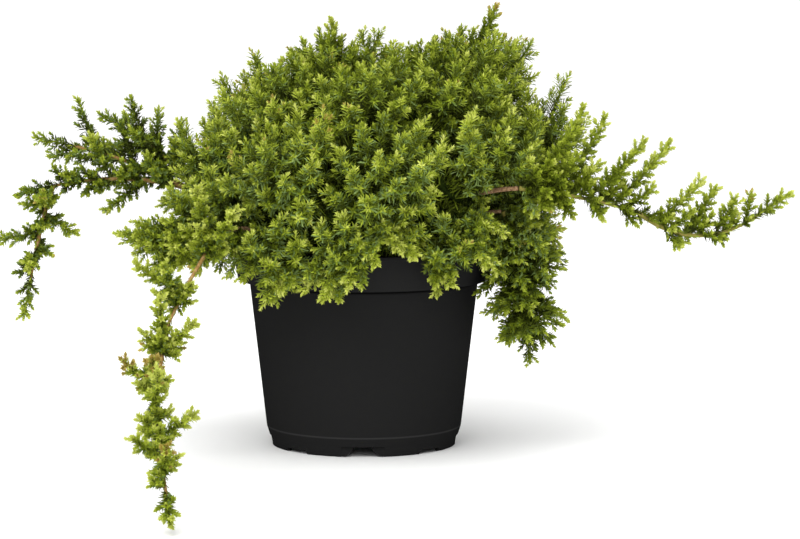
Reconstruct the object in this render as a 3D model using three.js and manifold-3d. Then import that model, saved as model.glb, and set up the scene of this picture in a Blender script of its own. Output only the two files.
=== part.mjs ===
// A creeping garden juniper in a black three litre nursery pot.
// Sizes are in millimetres. Z is up, the origin is the middle of the pot's underside,
// and the side of the plant that faces the viewer is -Y.
import * as THREE from "three";
import { mergeVertices } from "three/addons/utils/BufferGeometryUtils.js";
import Module from "manifold-3d";

const wasm = await Module();
wasm.setup();

// Driving sizes of the pot: a thin moulded cone with a wide band under its rim.
const POT = {
  height: 143,
  rimRadius: 95,
  lipHeight: 2.8,
  bandTopRadius: 93.2,
  bandFootRadius: 90.6,
  bandFootHeight: 118.5,
  bandRounding: 3,
  wallTopRadius: 81.3,
  wallFootRadius: 69.5,
  wallFootHeight: 13.4,
  footTopRadius: 67.4,
  footHeight: 6.8,
  footRadius: 66.1,
  footWidth: 3.4,
  wall: 1.9,
  floorUnderside: 8.2,
  floorTop: 10.4,
  padRadius: 21,
  sides: 32,
};
const DRAIN = {
  count: 8,
  wide: 30,
  wideHeight: 7.4,
  narrow: 19,
  narrowHeight: 2.7,
  lobe: 8.6,
  lobeSetBack: 1.2,
};
const SOIL_TOP = 129;
// Pieces that touch on the real plant are kept this far apart. The compost is set back further from
// the pot, because its sides are flatter between their corners.
const GAP = 0.3;
const SOIL_SET_BACK = 0.5;

// Driving sizes of the wood.
const TRUNK = {
  height: 44,
  footRadius: 8.4,
  topRadius: 5.6,
  flare: 4.6,
  lean: new THREE.Vector3(5, 2, 0),
  sides: 10,
};
const BOUGHS = { count: 9, reach: 50, tipHeight: 169, rootRadius: 2.9, tipRadius: 2.4 };
const LEADERS = { count: 3, reach: 20, tipHeight: 204, rootRadius: 2.4, tipRadius: 2.6 };
const STEM_RADIUS = 1.35;

// The crown's outline is a full dome: its middle, its half sizes, how square its shoulders are,
// and how far its top leans to the right.
const CROWN = {
  middle: new THREE.Vector3(1, 0, 168),
  half: new THREE.Vector3(148, 141, 118),
  fullness: 2.7,
  lean: 26,
};
// The dense middle of the crown fills it up to this share of the outline, and shoots stand out of it.
const CORE_SHARE = 0.76;

const v3 = (x, y, z) => new THREE.Vector3(x, y, z);
const UP = v3(0, 0, 1);
const radians = THREE.MathUtils.degToRad;
const lerp = THREE.MathUtils.lerp;

// A small seeded random series from 0 to 1, so that every run grows the same plant.
function series(seed) {
  let state = seed >>> 0;
  return () => {
    state = (Math.imul(state, 1664525) + 1013904223) >>> 0;
    return state / 4294967296;
  };
}

// A closed mesh becomes a solid, and a solid becomes a geometry again.
function solidOf(geometry) {
  const bare = geometry.clone();
  bare.deleteAttribute("normal");
  bare.deleteAttribute("uv");
  const merged = mergeVertices(bare, 1e-4);
  const vertProperties = merged.attributes.position.array;
  const triVerts = new Uint32Array(merged.index.array);
  return new wasm.Manifold(new wasm.Mesh({ numProp: 3, vertProperties, triVerts }));
}

function geometryOf(solid) {
  const mesh = solid.getMesh();
  const positions = new Float32Array(mesh.numVert * 3);
  for (let i = 0; i < mesh.numVert; i++) {
    positions.set(mesh.vertProperties.subarray(i * mesh.numProp, i * mesh.numProp + 3), i * 3);
  }
  return new THREE.BufferGeometry()
    .setAttribute("position", new THREE.BufferAttribute(positions, 3))
    .setIndex(new THREE.BufferAttribute(mesh.triVerts, 1));
}

// A skin over rings of points that all turn the same way. An end ring of one point is a tip,
// and any other end ring is closed flat. keepCorners picks the diagonal that leaves teeth slim.
function skin(rings, keepCorners = () => true) {
  const points = rings.flat();
  const starts = rings.map((_, k) => rings.slice(0, k).reduce((sum, ring) => sum + ring.length, 0));
  const index = [];
  for (let k = 0; k + 1 < rings.length; k++) {
    const [low, high] = [rings[k].length, rings[k + 1].length];
    const sides = Math.max(low, high);
    for (let j = 0; j < sides; j++) {
      const next = (j + 1) % sides;
      const a = starts[k] + (low > 1 ? j : 0);
      const b = starts[k] + (low > 1 ? next : 0);
      const c = starts[k + 1] + (high > 1 ? next : 0);
      const d = starts[k + 1] + (high > 1 ? j : 0);
      if (low === 1) index.push(a, c, d);
      else if (high === 1) index.push(a, b, c);
      else if (keepCorners(k, j)) index.push(a, b, c, a, c, d);
      else index.push(a, b, d, b, c, d);
    }
  }
  const last = starts[rings.length - 1];
  for (let j = 1; j + 1 < rings[0].length; j++) index.push(0, j + 1, j);
  for (let j = 1; j + 1 < rings.at(-1).length; j++) index.push(last, last + j, last + j + 1);
  const geometry = new THREE.BufferGeometry().setFromPoints(points);
  return geometry.setIndex(index);
}

// Two directions square to one another and to the given one.
function across(direction) {
  const side = Math.abs(direction.z) > 0.9 ? v3(1, 0, 0) : UP.clone();
  const u = side.cross(direction).normalize();
  return [u, direction.clone().cross(u)];
}

function ring(centre, direction, radius, sides, turn = 0) {
  const [u, w] = across(direction);
  return Array.from({ length: sides }, (_, j) => {
    const angle = turn + (j * 2 * Math.PI) / sides;
    const r = typeof radius === "function" ? radius(j, angle) : radius;
    return centre.clone().addScaledVector(u, r * Math.cos(angle)).addScaledVector(w, r * Math.sin(angle));
  });
}

// A limb that tapers along a curve.
function limb(curve, rootRadius, tipRadius, sides, steps, extra = 0) {
  const rings = Array.from({ length: steps + 1 }, (_, k) => {
    const t = k / steps;
    const radius = lerp(rootRadius, tipRadius, t) + extra;
    return ring(curve.getPoint(t), curve.getTangent(t).normalize(), radius, sides);
  });
  return solidOf(skin(rings));
}

// The pot, turned from its section, with drain gaps cut through its foot.
function potSolid() {
  const p = POT;
  const inside = (radius) => radius - p.wall;
  const bandHeight = p.bandFootHeight + p.bandRounding;
  const section = [
    [0, 0],
    [p.padRadius - 1, 0],
    [p.padRadius, p.floorUnderside],
    [p.footRadius - p.footWidth, p.floorUnderside],
    [p.footRadius - p.footWidth, 0],
    [p.footRadius, 0],
    [p.footTopRadius, p.footHeight],
    [p.wallFootRadius, p.wallFootHeight],
    [p.wallTopRadius, p.bandFootHeight - 2],
    [p.bandFootRadius - 1, p.bandFootHeight],
    [p.bandTopRadius, p.height - p.lipHeight],
    [p.rimRadius, p.height - p.lipHeight],
    [p.rimRadius, p.height],
    [inside(p.bandTopRadius), p.height],
    [inside(p.bandFootRadius), bandHeight],
    [inside(p.wallTopRadius), p.bandFootHeight - 1],
    [inside(p.footRadius), p.floorTop],
    [0, p.floorTop],
  ].map(([r, z]) => new THREE.Vector2(r, z));
  // A lathe turns about Y, so the section is stood up along Z afterwards.
  let pot = solidOf(new THREE.LatheGeometry(section, p.sides).rotateX(Math.PI / 2));
  if (pot.volume() < 0) throw new Error("the pot's section runs the wrong way round");
  for (let k = 0; k < DRAIN.count; k++) {
    const wide = k % 2 === 0;
    const half = (wide ? DRAIN.wide : DRAIN.narrow) / 2;
    const height = wide ? DRAIN.wideHeight : DRAIN.narrowHeight;
    const shape = new THREE.Shape();
    shape.moveTo(-half, -1);
    shape.lineTo(half, -1);
    if (wide) {
      // Round lobes narrow the gap towards its top.
      shape.lineTo(half, height - DRAIN.lobe * 0.8);
      shape.absellipse(half, height, DRAIN.lobe, DRAIN.lobe * 0.8, -Math.PI / 2, -Math.PI, true);
      shape.absellipse(-half, height, DRAIN.lobe, DRAIN.lobe * 0.8, 0, -Math.PI / 2, true);
    } else {
      shape.lineTo(half, height);
      shape.lineTo(-half, height);
    }
    // The gap starts inside the foot and is cut outwards through it.
    const cutter = (outline, depth, inner) =>
      new THREE.ExtrudeGeometry(outline, { depth, bevelEnabled: false, curveSegments: 3 })
        .rotateX(Math.PI / 2)
        .translate(0, inner - p.footRadius, 0)
        .rotateZ((k * 2 * Math.PI) / DRAIN.count);
    pot = pot.subtract(solidOf(cutter(shape, 14, 8)));
    if (wide) {
      const recess = new THREE.Shape([
        new THREE.Vector2(-half, -1),
        new THREE.Vector2(half, -1),
        new THREE.Vector2(half, height),
        new THREE.Vector2(-half, height),
      ]);
      pot = pot.subtract(solidOf(cutter(recess, 8, DRAIN.lobeSetBack)));
    }
  }
  return pot;
}

// The compost fills the pot to below its rim, a gap clear of the wall.
function soilSolid() {
  const p = POT;
  const clear = p.wall + GAP + SOIL_SET_BACK;
  const bandHeight = p.bandFootHeight + p.bandRounding;
  const topShare = (SOIL_TOP - bandHeight) / (p.height - bandHeight);
  const topRadius = lerp(p.bandFootRadius, p.bandTopRadius, topShare) - clear;
  const section = [
    [0, p.floorTop + GAP],
    [p.footRadius - clear - 0.4, p.floorTop + GAP],
    [p.wallTopRadius - clear, p.bandFootHeight - 1],
    [p.bandFootRadius - clear - 0.6, bandHeight + 1],
    [topRadius, SOIL_TOP - 1],
    [topRadius - 3, SOIL_TOP],
    [0, SOIL_TOP],
  ].map(([r, z]) => new THREE.Vector2(r, z));
  return solidOf(new THREE.LatheGeometry(section, 20).rotateX(Math.PI / 2));
}

const TRUNK_FOOT = v3(0, 0, SOIL_TOP + GAP);
const trunkPoint = (share) =>
  TRUNK_FOOT.clone().addScaledVector(TRUNK.lean, share).addScaledVector(UP, TRUNK.height * share);

// The trunk tapers from a flare of five roots at the flat cut to its fork.
function trunkSolid(extra = 0) {
  const shares = [0, 0.1, 0.25, 0.5, 0.8, 1];
  const rings = shares.map((share) => {
    const flare = TRUNK.flare * Math.pow(1 - share, 5);
    const radius = lerp(TRUNK.footRadius, TRUNK.topRadius, share) + extra;
    const roots = (j) => radius + flare * (j % 2 ? 0.35 : 1);
    return ring(trunkPoint(share), UP, roots, TRUNK.sides);
  });
  return solidOf(skin(rings));
}

const bow = (from, to, rise) =>
  new THREE.QuadraticBezierCurve3(from, from.clone().lerp(to, 0.5).addScaledVector(UP, rise), to);
const around = (azimuth, radius, z) => v3(radius * Math.cos(azimuth), radius * Math.sin(azimuth), z);

// Compass directions in a whorl: the first faces the viewer, and the rest follow right and left in turn.
function whorlAzimuth(i, count, turned = 0) {
  const side = i % 2 ? 1 : -1;
  return 270 + turned + (side * Math.ceil(i / 2) * 360) / count;
}

// Where each bough leaves the trunk, as a share of its height, and where it ends.
// Neighbours leave it at different heights, and the last one, between two high ones, at a third.
const BOUGH_SHARES = { high: 0.76, low: 0.56, last: 0.66 };
const boughs = [];
for (let i = 0; i < BOUGHS.count; i++) {
  const azimuth = radians(whorlAzimuth(i, BOUGHS.count));
  const high = Math.ceil(i / 2) % 2 === 0;
  const level = i === BOUGHS.count - 1 ? "last" : high ? "high" : "low";
  boughs.push({
    name: `bough_${i + 1}`,
    share: BOUGH_SHARES[level],
    tip: around(azimuth, BOUGHS.reach, BOUGHS.tipHeight + (high ? 4 : -3)),
    rise: 4,
    rootRadius: BOUGHS.rootRadius,
    tipRadius: BOUGHS.tipRadius,
  });
}
for (let i = 0; i < LEADERS.count; i++) {
  const azimuth = radians(whorlAzimuth(i, LEADERS.count));
  boughs.push({
    name: `leader_${i + 1}`,
    share: 0.88,
    tip: around(azimuth, LEADERS.reach, LEADERS.tipHeight).add(TRUNK.lean),
    rise: -5,
    rootRadius: LEADERS.rootRadius,
    tipRadius: LEADERS.tipRadius,
  });
}
// The four long boughs that leave the crown.
boughs.push(
  { name: "bough_left", share: 0.3, tip: v3(-124, 4, 183), rise: 8, rootRadius: 3.2, tipRadius: 2 },
  { name: "bough_right", share: 0.36, tip: v3(106, -92, 190), rise: 16, rootRadius: 3.4, tipRadius: 2.2 },
  { name: "bough_hanging", share: 0.14, tip: v3(96, -56, 171), rise: 14, rootRadius: 2.8, tipRadius: 1.9 },
  { name: "bough_trailing", share: 0.16, tip: v3(-92, -76, 160), rise: 14, rootRadius: 3.2, tipRadius: 2 },
);
const boughNamed = (name) => boughs.find((bough) => bough.name === name);
for (const bough of boughs) {
  bough.curve = bow(trunkPoint(bough.share), bough.tip, bough.rise);
}

// How far out a point lies in the crown: 1 on its outline and 0 in its middle.
function crownShare(point) {
  const height = (point.z - CROWN.middle.z) / CROWN.half.z;
  const dx = (point.x - CROWN.middle.x - CROWN.lean * Math.max(0, height)) / CROWN.half.x;
  const flat = Math.hypot(dx, (point.y - CROWN.middle.y) / CROWN.half.y);
  return (flat ** CROWN.fullness + Math.abs(height) ** CROWN.fullness) ** (1 / CROWN.fullness);
}

// The same point moved along its ray from the crown's middle until it lies at the given share.
function movedTo(point, share) {
  const moved = point.clone();
  for (let i = 0; i < 4; i++) {
    const factor = share / crownShare(moved);
    moved.sub(CROWN.middle).multiplyScalar(factor).add(CROWN.middle);
  }
  return moved;
}

function outline(azimuth, elevation, share) {
  const [a, e] = [radians(azimuth), radians(elevation)];
  const direction = v3(Math.cos(e) * Math.cos(a), Math.cos(e) * Math.sin(a), Math.sin(e));
  return movedTo(CROWN.middle.clone().addScaledVector(direction, 100), share);
}

function nearestLeader(point) {
  const leaders = boughs.filter((bough) => bough.name.startsWith("leader"));
  return leaders.sort((a, b) => a.tip.distanceTo(point) - b.tip.distanceTo(point))[0].name;
}

// Each mass of foliage has one stem, from its bough's tip towards its own furthest point.
// A crown mass fans its shoots out over its part of the outline, as far as its spread.
// A runner mass sets them along its stem. rise is how far the stem bows upwards.
const masses = [];
const TIERS = [
  { name: "skirt", count: 9, elevation: -15, share: 0.98, spread: 48, shoots: 6, rise: 18, turned: 0 },
  { name: "shoulder", count: 9, elevation: 20, share: 1, spread: 44, shoots: 6, rise: 2, turned: 10 },
  { name: "upper", count: 7, elevation: 50, share: 0.99, spread: 44, shoots: 6, rise: -4, turned: 0 },
];
for (const tier of TIERS) {
  for (let i = 0; i < tier.count; i++) {
    const random = series(i * 97 + tier.count + tier.elevation + 500);
    const azimuth = whorlAzimuth(i, tier.count, tier.turned);
    const tip = outline(
      azimuth + 6 * (random() - 0.5),
      tier.elevation + 5 * (random() - 0.5),
      tier.share * (0.98 + 0.05 * random()),
    );
    const bough = tier.name === "upper" ? nearestLeader(tip) : `bough_${i + 1}`;
    masses.push({ ...tier, name: `${tier.name}_${i + 1}`, bough, tip, crown: true, core: 46 });
  }
}
function addTop(name, bough, tip, spread, shoots, rise) {
  masses.push({ name, bough, tip, spread, shoots, rise, crown: true, core: 34 });
}
addTop("top_right", nearestLeader(v3(93, 6, 311)), v3(93, 6, 311), 48, 6, -8);
addTop("top_back", "leader_2", v3(22, 48, 274), 38, 6, 0);
addTop("top_left", "leader_3", v3(-22, -4, 301), 36, 6, 4);

// A runner's shoots stand out to the given side of its stem, swung left, right and not at all in turn.
// With no side they go round the stem. length is that of its longest shoot, at its foot, last is the
// share of it that the shoots near its end have, and lift is how much they turn up.
const VIEWER = v3(0, -1, 0);
const RUNNER = { shoots: 8, length: 34, rise: 4, side: null, swing: 75, core: 0, lift: 0.15, last: 0.7 };
function addRunner(name, bough, tip, habit) {
  masses.push({ ...RUNNER, name, bough, tip, ...habit });
}
addRunner("left_high", "bough_left", v3(-184, 14, 239), { length: 32, rise: 6, core: 8, last: 0.9 });
addRunner("left_far", "bough_left", v3(-232, 8, 221), { rise: 6, core: 8, last: 0.9 });
addRunner("left_arch", "bough_left", v3(-241, -42, 188), { shoots: 8, rise: 12, side: VIEWER });
addRunner("left_arch_tip", "left_arch", v3(-238, -55, 98), { length: 30, rise: 10, side: VIEWER, swing: 85 });
addRunner("low_left", "bough_trailing", v3(-155, -98, 150), { length: 36, core: 15, lift: -0.2, last: 1 });
addRunner("trail_upper", "bough_trailing", v3(-136, -190, 92), { length: 42, rise: 12, side: UP, lift: 0.7 });
addRunner("trail_middle", "trail_upper", v3(-132, -272, 50), { rise: 2, side: UP, lift: 0.7 });
addRunner("trail_tip", "trail_middle", v3(-113, -352, 9), { length: 30, side: UP, lift: 0.5 });
addRunner("right_runner", "bough_right", v3(214, -70, 167), { length: 57, side: UP, swing: 30, last: 0.72 });
addRunner("right_runner_tip", "right_runner", v3(299, -66, 168), {
  shoots: 7,
  length: 40,
  rise: -30,
  side: UP,
  swing: 35,
  last: 0.4,
});
addRunner("hanging_right", "bough_hanging", v3(119, -42, 66), {
  shoots: 13,
  length: 38,
  rise: 16,
  core: 15,
  last: 0.95,
});

// The stem of a mass stops short of its furthest point, which its last shoot reaches.
// It starts clear of the cut end of its bough, or of the stem of the mass before it.
const TIP_SHOOT = 34;
function growStem(mass, order) {
  const parent = boughNamed(mass.bough) ?? masses.find((m) => m.name === mass.bough);
  const end = parent.curve.getPoint(1);
  const along = parent.curve.getTangent(1).normalize();
  const siblings = masses.filter((m) => m.bough === mass.bough);
  const heading = mass.tip.clone().sub(end).normalize();
  const offset = v3(0, 0, 0);
  if (siblings.length > 1) {
    // Stems that share a bough stand side by side on its end, each in the free place that suits it best.
    const [u, w] = across(along);
    parent.seats ??= siblings.map((_, k) => {
      const angle = (k * 2 * Math.PI) / siblings.length + Math.PI / 2;
      return u.clone().multiplyScalar(Math.cos(angle)).addScaledVector(w, Math.sin(angle));
    });
    parent.seats.sort((a, b) => b.dot(heading) - a.dot(heading));
    offset.copy(parent.seats.shift()).multiplyScalar(2.2);
  }
  const stop = mass.tip.clone().addScaledVector(heading, -TIP_SHOOT * 0.8);
  const first = bow(end, stop, mass.rise).getTangent(0);
  const slant = Math.sqrt(Math.max(0, 1 - first.dot(along) ** 2));
  const start = end.clone().addScaledVector(along, GAP + 0.05 + STEM_RADIUS * slant).add(offset);
  mass.curve = bow(start, stop, mass.rise);
  mass.order = order;
  mass.places = mass.curve.getPoints(8).concat([mass.tip]);
  mass.stem = limb(mass.curve, STEM_RADIUS, 0.75, 3, 3);
}

// A mass keeps to its own space: the points that lie nearer to its stem than to any other.
function distanceTo(places, point) {
  const line = new THREE.Line3();
  const nearest = v3(0, 0, 0);
  let best = Infinity;
  for (let i = 0; i + 1 < places.length; i++) {
    line.set(places[i], places[i + 1]).closestPointToPoint(point, true, nearest);
    best = Math.min(best, nearest.distanceTo(point));
  }
  return best;
}
const FLOOR_CLEARANCE = 4;
function isFree(mass, point, tolerance = 0) {
  const underBand = point.z < POT.bandFootHeight - 3;
  const potRadius = underBand ? POT.wallTopRadius : POT.rimRadius;
  if (Math.hypot(point.x, point.y) < potRadius + 4 && point.z < POT.height + 4) return false;
  if (point.z < FLOOR_CLEARANCE) return false;
  const own = distanceTo(mass.places, point) - tolerance;
  return masses.every((other) => other === mass || distanceTo(other.places, point) > own);
}

// How far the dense middle of a mass may reach from a point of its stem.
function coreReach(mass, from, direction) {
  const point = v3(0, 0, 0);
  let reach = 2;
  while (reach < mass.core) {
    point.copy(from).addScaledVector(direction, reach);
    if ((mass.crown && crownShare(point) > CORE_SHARE) || !isFree(mass, point)) break;
    if (boughs.some((bough) => distanceTo(bough.places, point) < 4.5)) break;
    reach += 2;
  }
  return reach;
}

// The dense middle of a mass swells from its stem as far as its space goes, with blunt teeth.
// keptShares holds, for each of its corners, the share of that reach which is kept.
function corePoints(mass) {
  const shares = mass.crown ? [0.38, 0.74, 1.08] : [0.35, 0.7, 1];
  return shares.map((share, k) => {
    const along = mass.curve.getTangent(Math.min(share, 1)).normalize();
    const over = Math.max(0, share - 1) * mass.curve.getLength();
    const centre = mass.curve.getPoint(Math.min(share, 1)).addScaledVector(along, over);
    const [u, w] = across(along);
    return Array.from({ length: 6 }, (_, j) => {
      const angle = ((j + (k % 2) / 2) * Math.PI) / 3;
      const out = u.clone().multiplyScalar(Math.cos(angle)).addScaledVector(w, Math.sin(angle));
      const tooth = (j + k) % 2 === 0;
      const reach = coreReach(mass, centre, out) * (tooth ? 0.97 : 0.8);
      return { centre, reach: out.multiplyScalar(reach).addScaledVector(along, tooth ? 3 : 0) };
    });
  });
}
function coreSolid(mass, corners, kept) {
  const along = mass.curve.getTangent(1).normalize();
  const beyond = (mass.crown ? 0.2 : 0.12) * mass.curve.getLength();
  const rings = corners.map((row, k) =>
    row.map(({ centre, reach }, j) => centre.clone().addScaledVector(reach, kept[k][j])),
  );
  rings.unshift([mass.curve.getPoint(0.14)]);
  rings.push([mass.curve.getPoint(1).addScaledVector(along, beyond)]);
  return solidOf(skin(rings, (k, j) => (j + k) % 2 !== 0));
}
// Where the middle would touch a neighbour, its nearest corners are drawn in until it is clear.
function growCore(mass) {
  const corners = corePoints(mass);
  const kept = corners.map((row) => row.map(() => 1));
  for (let i = 0; i < 60; i++) {
    const core = coreSolid(mass, corners, kept);
    const spot = touchedSpot(mass.name, core);
    if (!spot) return core;
    const near = corners
      .flatMap((row, k) =>
        row.map(({ centre, reach }, j) => ({ k, j, away: centre.clone().add(reach).distanceTo(spot) })),
      )
      .sort((a, b) => a.away - b.away);
    for (const { k, j } of near.slice(0, 3)) kept[k][j] *= 0.85;
  }
  return null;
}

// A shoot is a slim square twig from which needles' outlines stand out and forwards as teeth,
// in turned pairs. Its root and its tip are points, and its neck is bare.
const SHOOT = { levelLength: 12, coreShare: 0.18, teethAhead: 0.1, neckRadius: 1.5 };
function shootSolid(root, heading, bare, length, reach, turn, lift) {
  const [u, w] = across(heading);
  const levels = Math.min(3, Math.max(2, Math.round(length / SHOOT.levelLength)));
  const step = length / (levels + 1);
  const at = (s) =>
    root
      .clone()
      .addScaledVector(heading, bare + s)
      .addScaledVector(UP, lift * (Math.max(0, s) / length) ** 2);
  const rings = [[root.clone()]];
  for (let k = 0; k <= levels; k++) {
    const spread = reach * Math.sin(Math.PI * (0.34 + (0.5 * k) / levels));
    rings.push(
      Array.from({ length: 4 }, (_, j) => {
        const tooth = k > 0 && (j + k) % 2 === 0;
        const angle = turn + (j * Math.PI) / 2;
        const slim = k > 0 ? reach * SHOOT.coreShare : SHOOT.neckRadius;
        const radius = tooth ? spread : slim;
        return at(k * step + (tooth ? step * SHOOT.teethAhead : 0))
          .addScaledVector(u, radius * Math.cos(angle))
          .addScaledVector(w, radius * Math.sin(angle))
          .addScaledVector(heading, tooth ? step * 0.6 : 0);
      }),
    );
  }
  rings.push([at(length + step * 0.4)]);
  return solidOf(skin(rings, (k, j) => (j + k) % 2 === 0));
}

const boxOf = (solid) => {
  const { min, max } = solid.boundingBox();
  return new THREE.Box3(v3(...min), v3(...max));
};
const placed = [];
const keep = (owner, solid) => placed.push({ owner, solid, box: boxOf(solid).expandByScalar(0.1) });
// Where a solid touches one of another owner's, or null where it is clear of them all.
function touchedSpot(owner, solid) {
  const box = boxOf(solid);
  for (const other of placed) {
    if (other.owner === owner || !other.box.intersectsBox(box)) continue;
    const shared = other.solid.intersect(solid);
    if (shared.volume() > 0) return boxOf(shared).getCenter(v3(0, 0, 0));
  }
  return null;
}

const wood = new THREE.MeshStandardMaterial({ color: 0x7a5236, roughness: 0.9, metalness: 0 });
const greenWood = new THREE.MeshStandardMaterial({ color: 0x8a7a44, roughness: 0.85, metalness: 0 });
const leafGreen = new THREE.MeshStandardMaterial({ color: 0x6f8f2c, roughness: 0.7, metalness: 0 });
const blackPlastic = new THREE.MeshStandardMaterial({ color: 0x17181a, roughness: 0.45, metalness: 0 });
const peat = new THREE.MeshStandardMaterial({ color: 0x3a281c, roughness: 1, metalness: 0 });

const plant = new THREE.Group();
function addNode(name, solid, material) {
  const mesh = new THREE.Mesh(geometryOf(solid), material);
  mesh.name = name;
  plant.add(mesh);
  keep(name, solid);
}

addNode("pot", potSolid(), blackPlastic);
addNode("soil", soilSolid(), peat);
addNode("trunk", trunkSolid(), wood);
const clearOfTrunk = trunkSolid(GAP);
for (const bough of boughs) {
  const whole = limb(bough.curve, bough.rootRadius, bough.tipRadius, 5, 3);
  addNode(bough.name, whole.subtract(clearOfTrunk), bough.name.startsWith("leader") ? greenWood : wood);
}

// All the stems come first, then the dense middles, then one shoot of each mass in turn.
for (const bough of boughs) bough.places = bough.curve.getPoints(8);
masses.forEach(growStem);
for (const mass of masses) {
  mass.parts = [mass.stem];
  mass.grown = [];
  keep(mass.name, mass.stem);
}
for (const mass of masses.filter((m) => m.core > 0)) {
  const core = growCore(mass);
  if (core) {
    keep(mass.name, core);
    mass.parts.push(core);
  }
}

// Where shoot i of a mass starts on its stem and which way it heads. Number 0 carries on from the stem.
const GOLDEN = radians(137.508);
// A shoot that would leave its space or touch another is tried slimmer, turned and shorter.
const SHOOT_TRIES = [1, 0.86, 0.72, 0.58].flatMap((shorter) =>
  [1, 0.8].flatMap((slimmer) => [0, Math.PI / 4].map((turned) => [shorter, slimmer, turned])),
);
function shootPlan(mass, i, closer) {
  const random = series((mass.order + 1) * 7919 + i * 104729);
  const turn = random() * Math.PI;
  const vigour = 0.9 + 0.2 * random();
  const angle = i * GOLDEN + mass.order;
  if (mass.crown) {
    const spread = i === 0 ? 0 : closer * Math.sqrt((i + 0.35) / mass.shoots);
    const normal = mass.tip.clone().sub(CROWN.middle).normalize();
    const [u, w] = across(normal);
    const aim = mass.tip
      .clone()
      .addScaledVector(u, mass.spread * spread * Math.cos(angle))
      .addScaledVector(w, mass.spread * spread * Math.sin(angle));
    const uneven = i === 0 ? 1 : 0.94 + 0.4 * (vigour - 0.9);
    const share = lerp(crownShare(mass.tip), 0.97, Math.min(1, spread * 1.2)) * uneven;
    const tip = movedTo(aim, share);
    const below = tip.z < mass.curve.getPoint(1).z - 8;
    const root = mass.curve.getPoint(below ? 0.97 : lerp(0.95, 0.6, spread));
    const heading = tip.clone().sub(root);
    const length = heading.length();
    heading.normalize();
    const bare = Math.min(coreReach({ ...mass, core: 90 }, root, heading) + 1, length - 22);
    return { root, heading, bare: Math.max(bare, 4), length: length - Math.max(bare, 4), turn };
  }
  const share = i === 0 ? 1 : 0.08 + (0.88 * (i - 0.5)) / mass.shoots;
  const root = mass.curve.getPoint(share);
  const along = mass.curve.getTangent(share).normalize();
  const [u, w] = across(along);
  const out = u.clone().multiplyScalar(Math.cos(angle)).addScaledVector(w, Math.sin(angle));
  if (mass.side) {
    out.copy(mass.side).addScaledVector(along, -mass.side.dot(along)).normalize();
    out.applyAxisAngle(along, radians(mass.swing) * ((i % 3) - 1));
  }
  const lean = i === 0 ? 0 : radians(lerp(58, 44, share));
  const heading = along.clone().multiplyScalar(Math.cos(lean)).addScaledVector(out, Math.sin(lean));
  heading.addScaledVector(UP, i === 0 ? 0 : mass.lift).normalize();
  if (i === 0) root.addScaledVector(heading, -4);
  const bare = i === 0 ? 6 : 4 + mass.core * 0.6;
  const length = i === 0 ? TIP_SHOOT * 0.8 + 4 : mass.length * lerp(1.1, mass.last, share) * vigour;
  return { root, heading, bare, length: length - bare, turn };
}
function growShoot(mass, i) {
  for (const closer of mass.crown && i > 0 ? [1, 0.8, 0.6] : [1]) {
    const plan = shootPlan(mass, i, closer);
    for (const [shorter, slimmer, turned] of SHOOT_TRIES) {
      const length = plan.length * shorter;
      if (length < 12) break;
      const widest = mass.crown ? 13 : 10;
      const reach = Math.min(widest, Math.max(6.5, length * 0.36)) * slimmer;
      const lift = i === 0 ? 0 : length * 0.14;
      const solid = shootSolid(plan.root, plan.heading, plan.bare, length, reach, plan.turn + turned, lift);
      if (shootFits(mass, plan, length, solid)) {
        keep(mass.name, solid);
        mass.grown.push(solid);
        return;
      }
    }
  }
}
function shootFits(mass, plan, length, solid) {
  const points = [0.5, 0.8, 1.05].map((share) =>
    plan.root.clone().addScaledVector(plan.heading, plan.bare + length * share),
  );
  if (boxOf(solid).min.z < FLOOR_CLEARANCE || !points.every((point) => isFree(mass, point, 5))) return false;
  return mass.grown.every((shoot) => shoot.intersect(solid).volume() <= 0) && !touchedSpot(mass.name, solid);
}
const mostShoots = Math.max(...masses.map((mass) => mass.shoots));
for (let round = 0; round <= mostShoots; round++) {
  for (const mass of masses) {
    if (round <= mass.shoots) growShoot(mass, round);
  }
}

// Each mass is fused into one solid, and a loose scrap is dropped.
for (const mass of masses) {
  const fused = [...mass.parts, ...mass.grown].reduce((whole, piece) => whole.add(piece));
  const [largest] = fused.decompose().sort((a, b) => b.volume() - a.volume());
  const mesh = new THREE.Mesh(geometryOf(largest), leafGreen);
  mesh.name = mass.name;
  plant.add(mesh);
}

export default plant;
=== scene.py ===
# %% [markdown]
# # A creeping juniper in its nursery pot
# A garden juniper of the low, spreading kind has a short woody foot, boughs that leave it in a whorl,
# and green sprays crowded with awl-shaped needles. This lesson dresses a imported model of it: the model
# gives the places and the reach, and the script grows the same plant again with finer twigs, real
# needles, bark, peat and a moulded pot. Everything is worked out in millimetres and stored in metres.

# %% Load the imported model
import math
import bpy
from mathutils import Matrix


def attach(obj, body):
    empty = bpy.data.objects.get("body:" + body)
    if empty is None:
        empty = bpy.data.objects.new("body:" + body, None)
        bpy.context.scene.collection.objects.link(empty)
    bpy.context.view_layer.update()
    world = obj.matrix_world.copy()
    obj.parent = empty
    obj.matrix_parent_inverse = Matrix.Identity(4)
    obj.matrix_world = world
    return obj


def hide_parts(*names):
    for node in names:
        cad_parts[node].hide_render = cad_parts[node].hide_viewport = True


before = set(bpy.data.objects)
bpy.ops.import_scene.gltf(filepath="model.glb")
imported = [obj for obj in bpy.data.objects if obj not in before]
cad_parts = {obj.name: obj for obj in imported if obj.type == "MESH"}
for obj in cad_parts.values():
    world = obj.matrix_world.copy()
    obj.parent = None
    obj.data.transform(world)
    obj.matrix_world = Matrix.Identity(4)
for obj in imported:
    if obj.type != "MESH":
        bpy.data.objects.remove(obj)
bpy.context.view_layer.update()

from types import SimpleNamespace

import bpy
import numpy as np
from mathutils import noise, Vector

MM = 0.001


def new_object(name, data):
    made = bpy.data.objects.new(name, data)
    bpy.context.scene.collection.objects.link(made)
    return made


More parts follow.
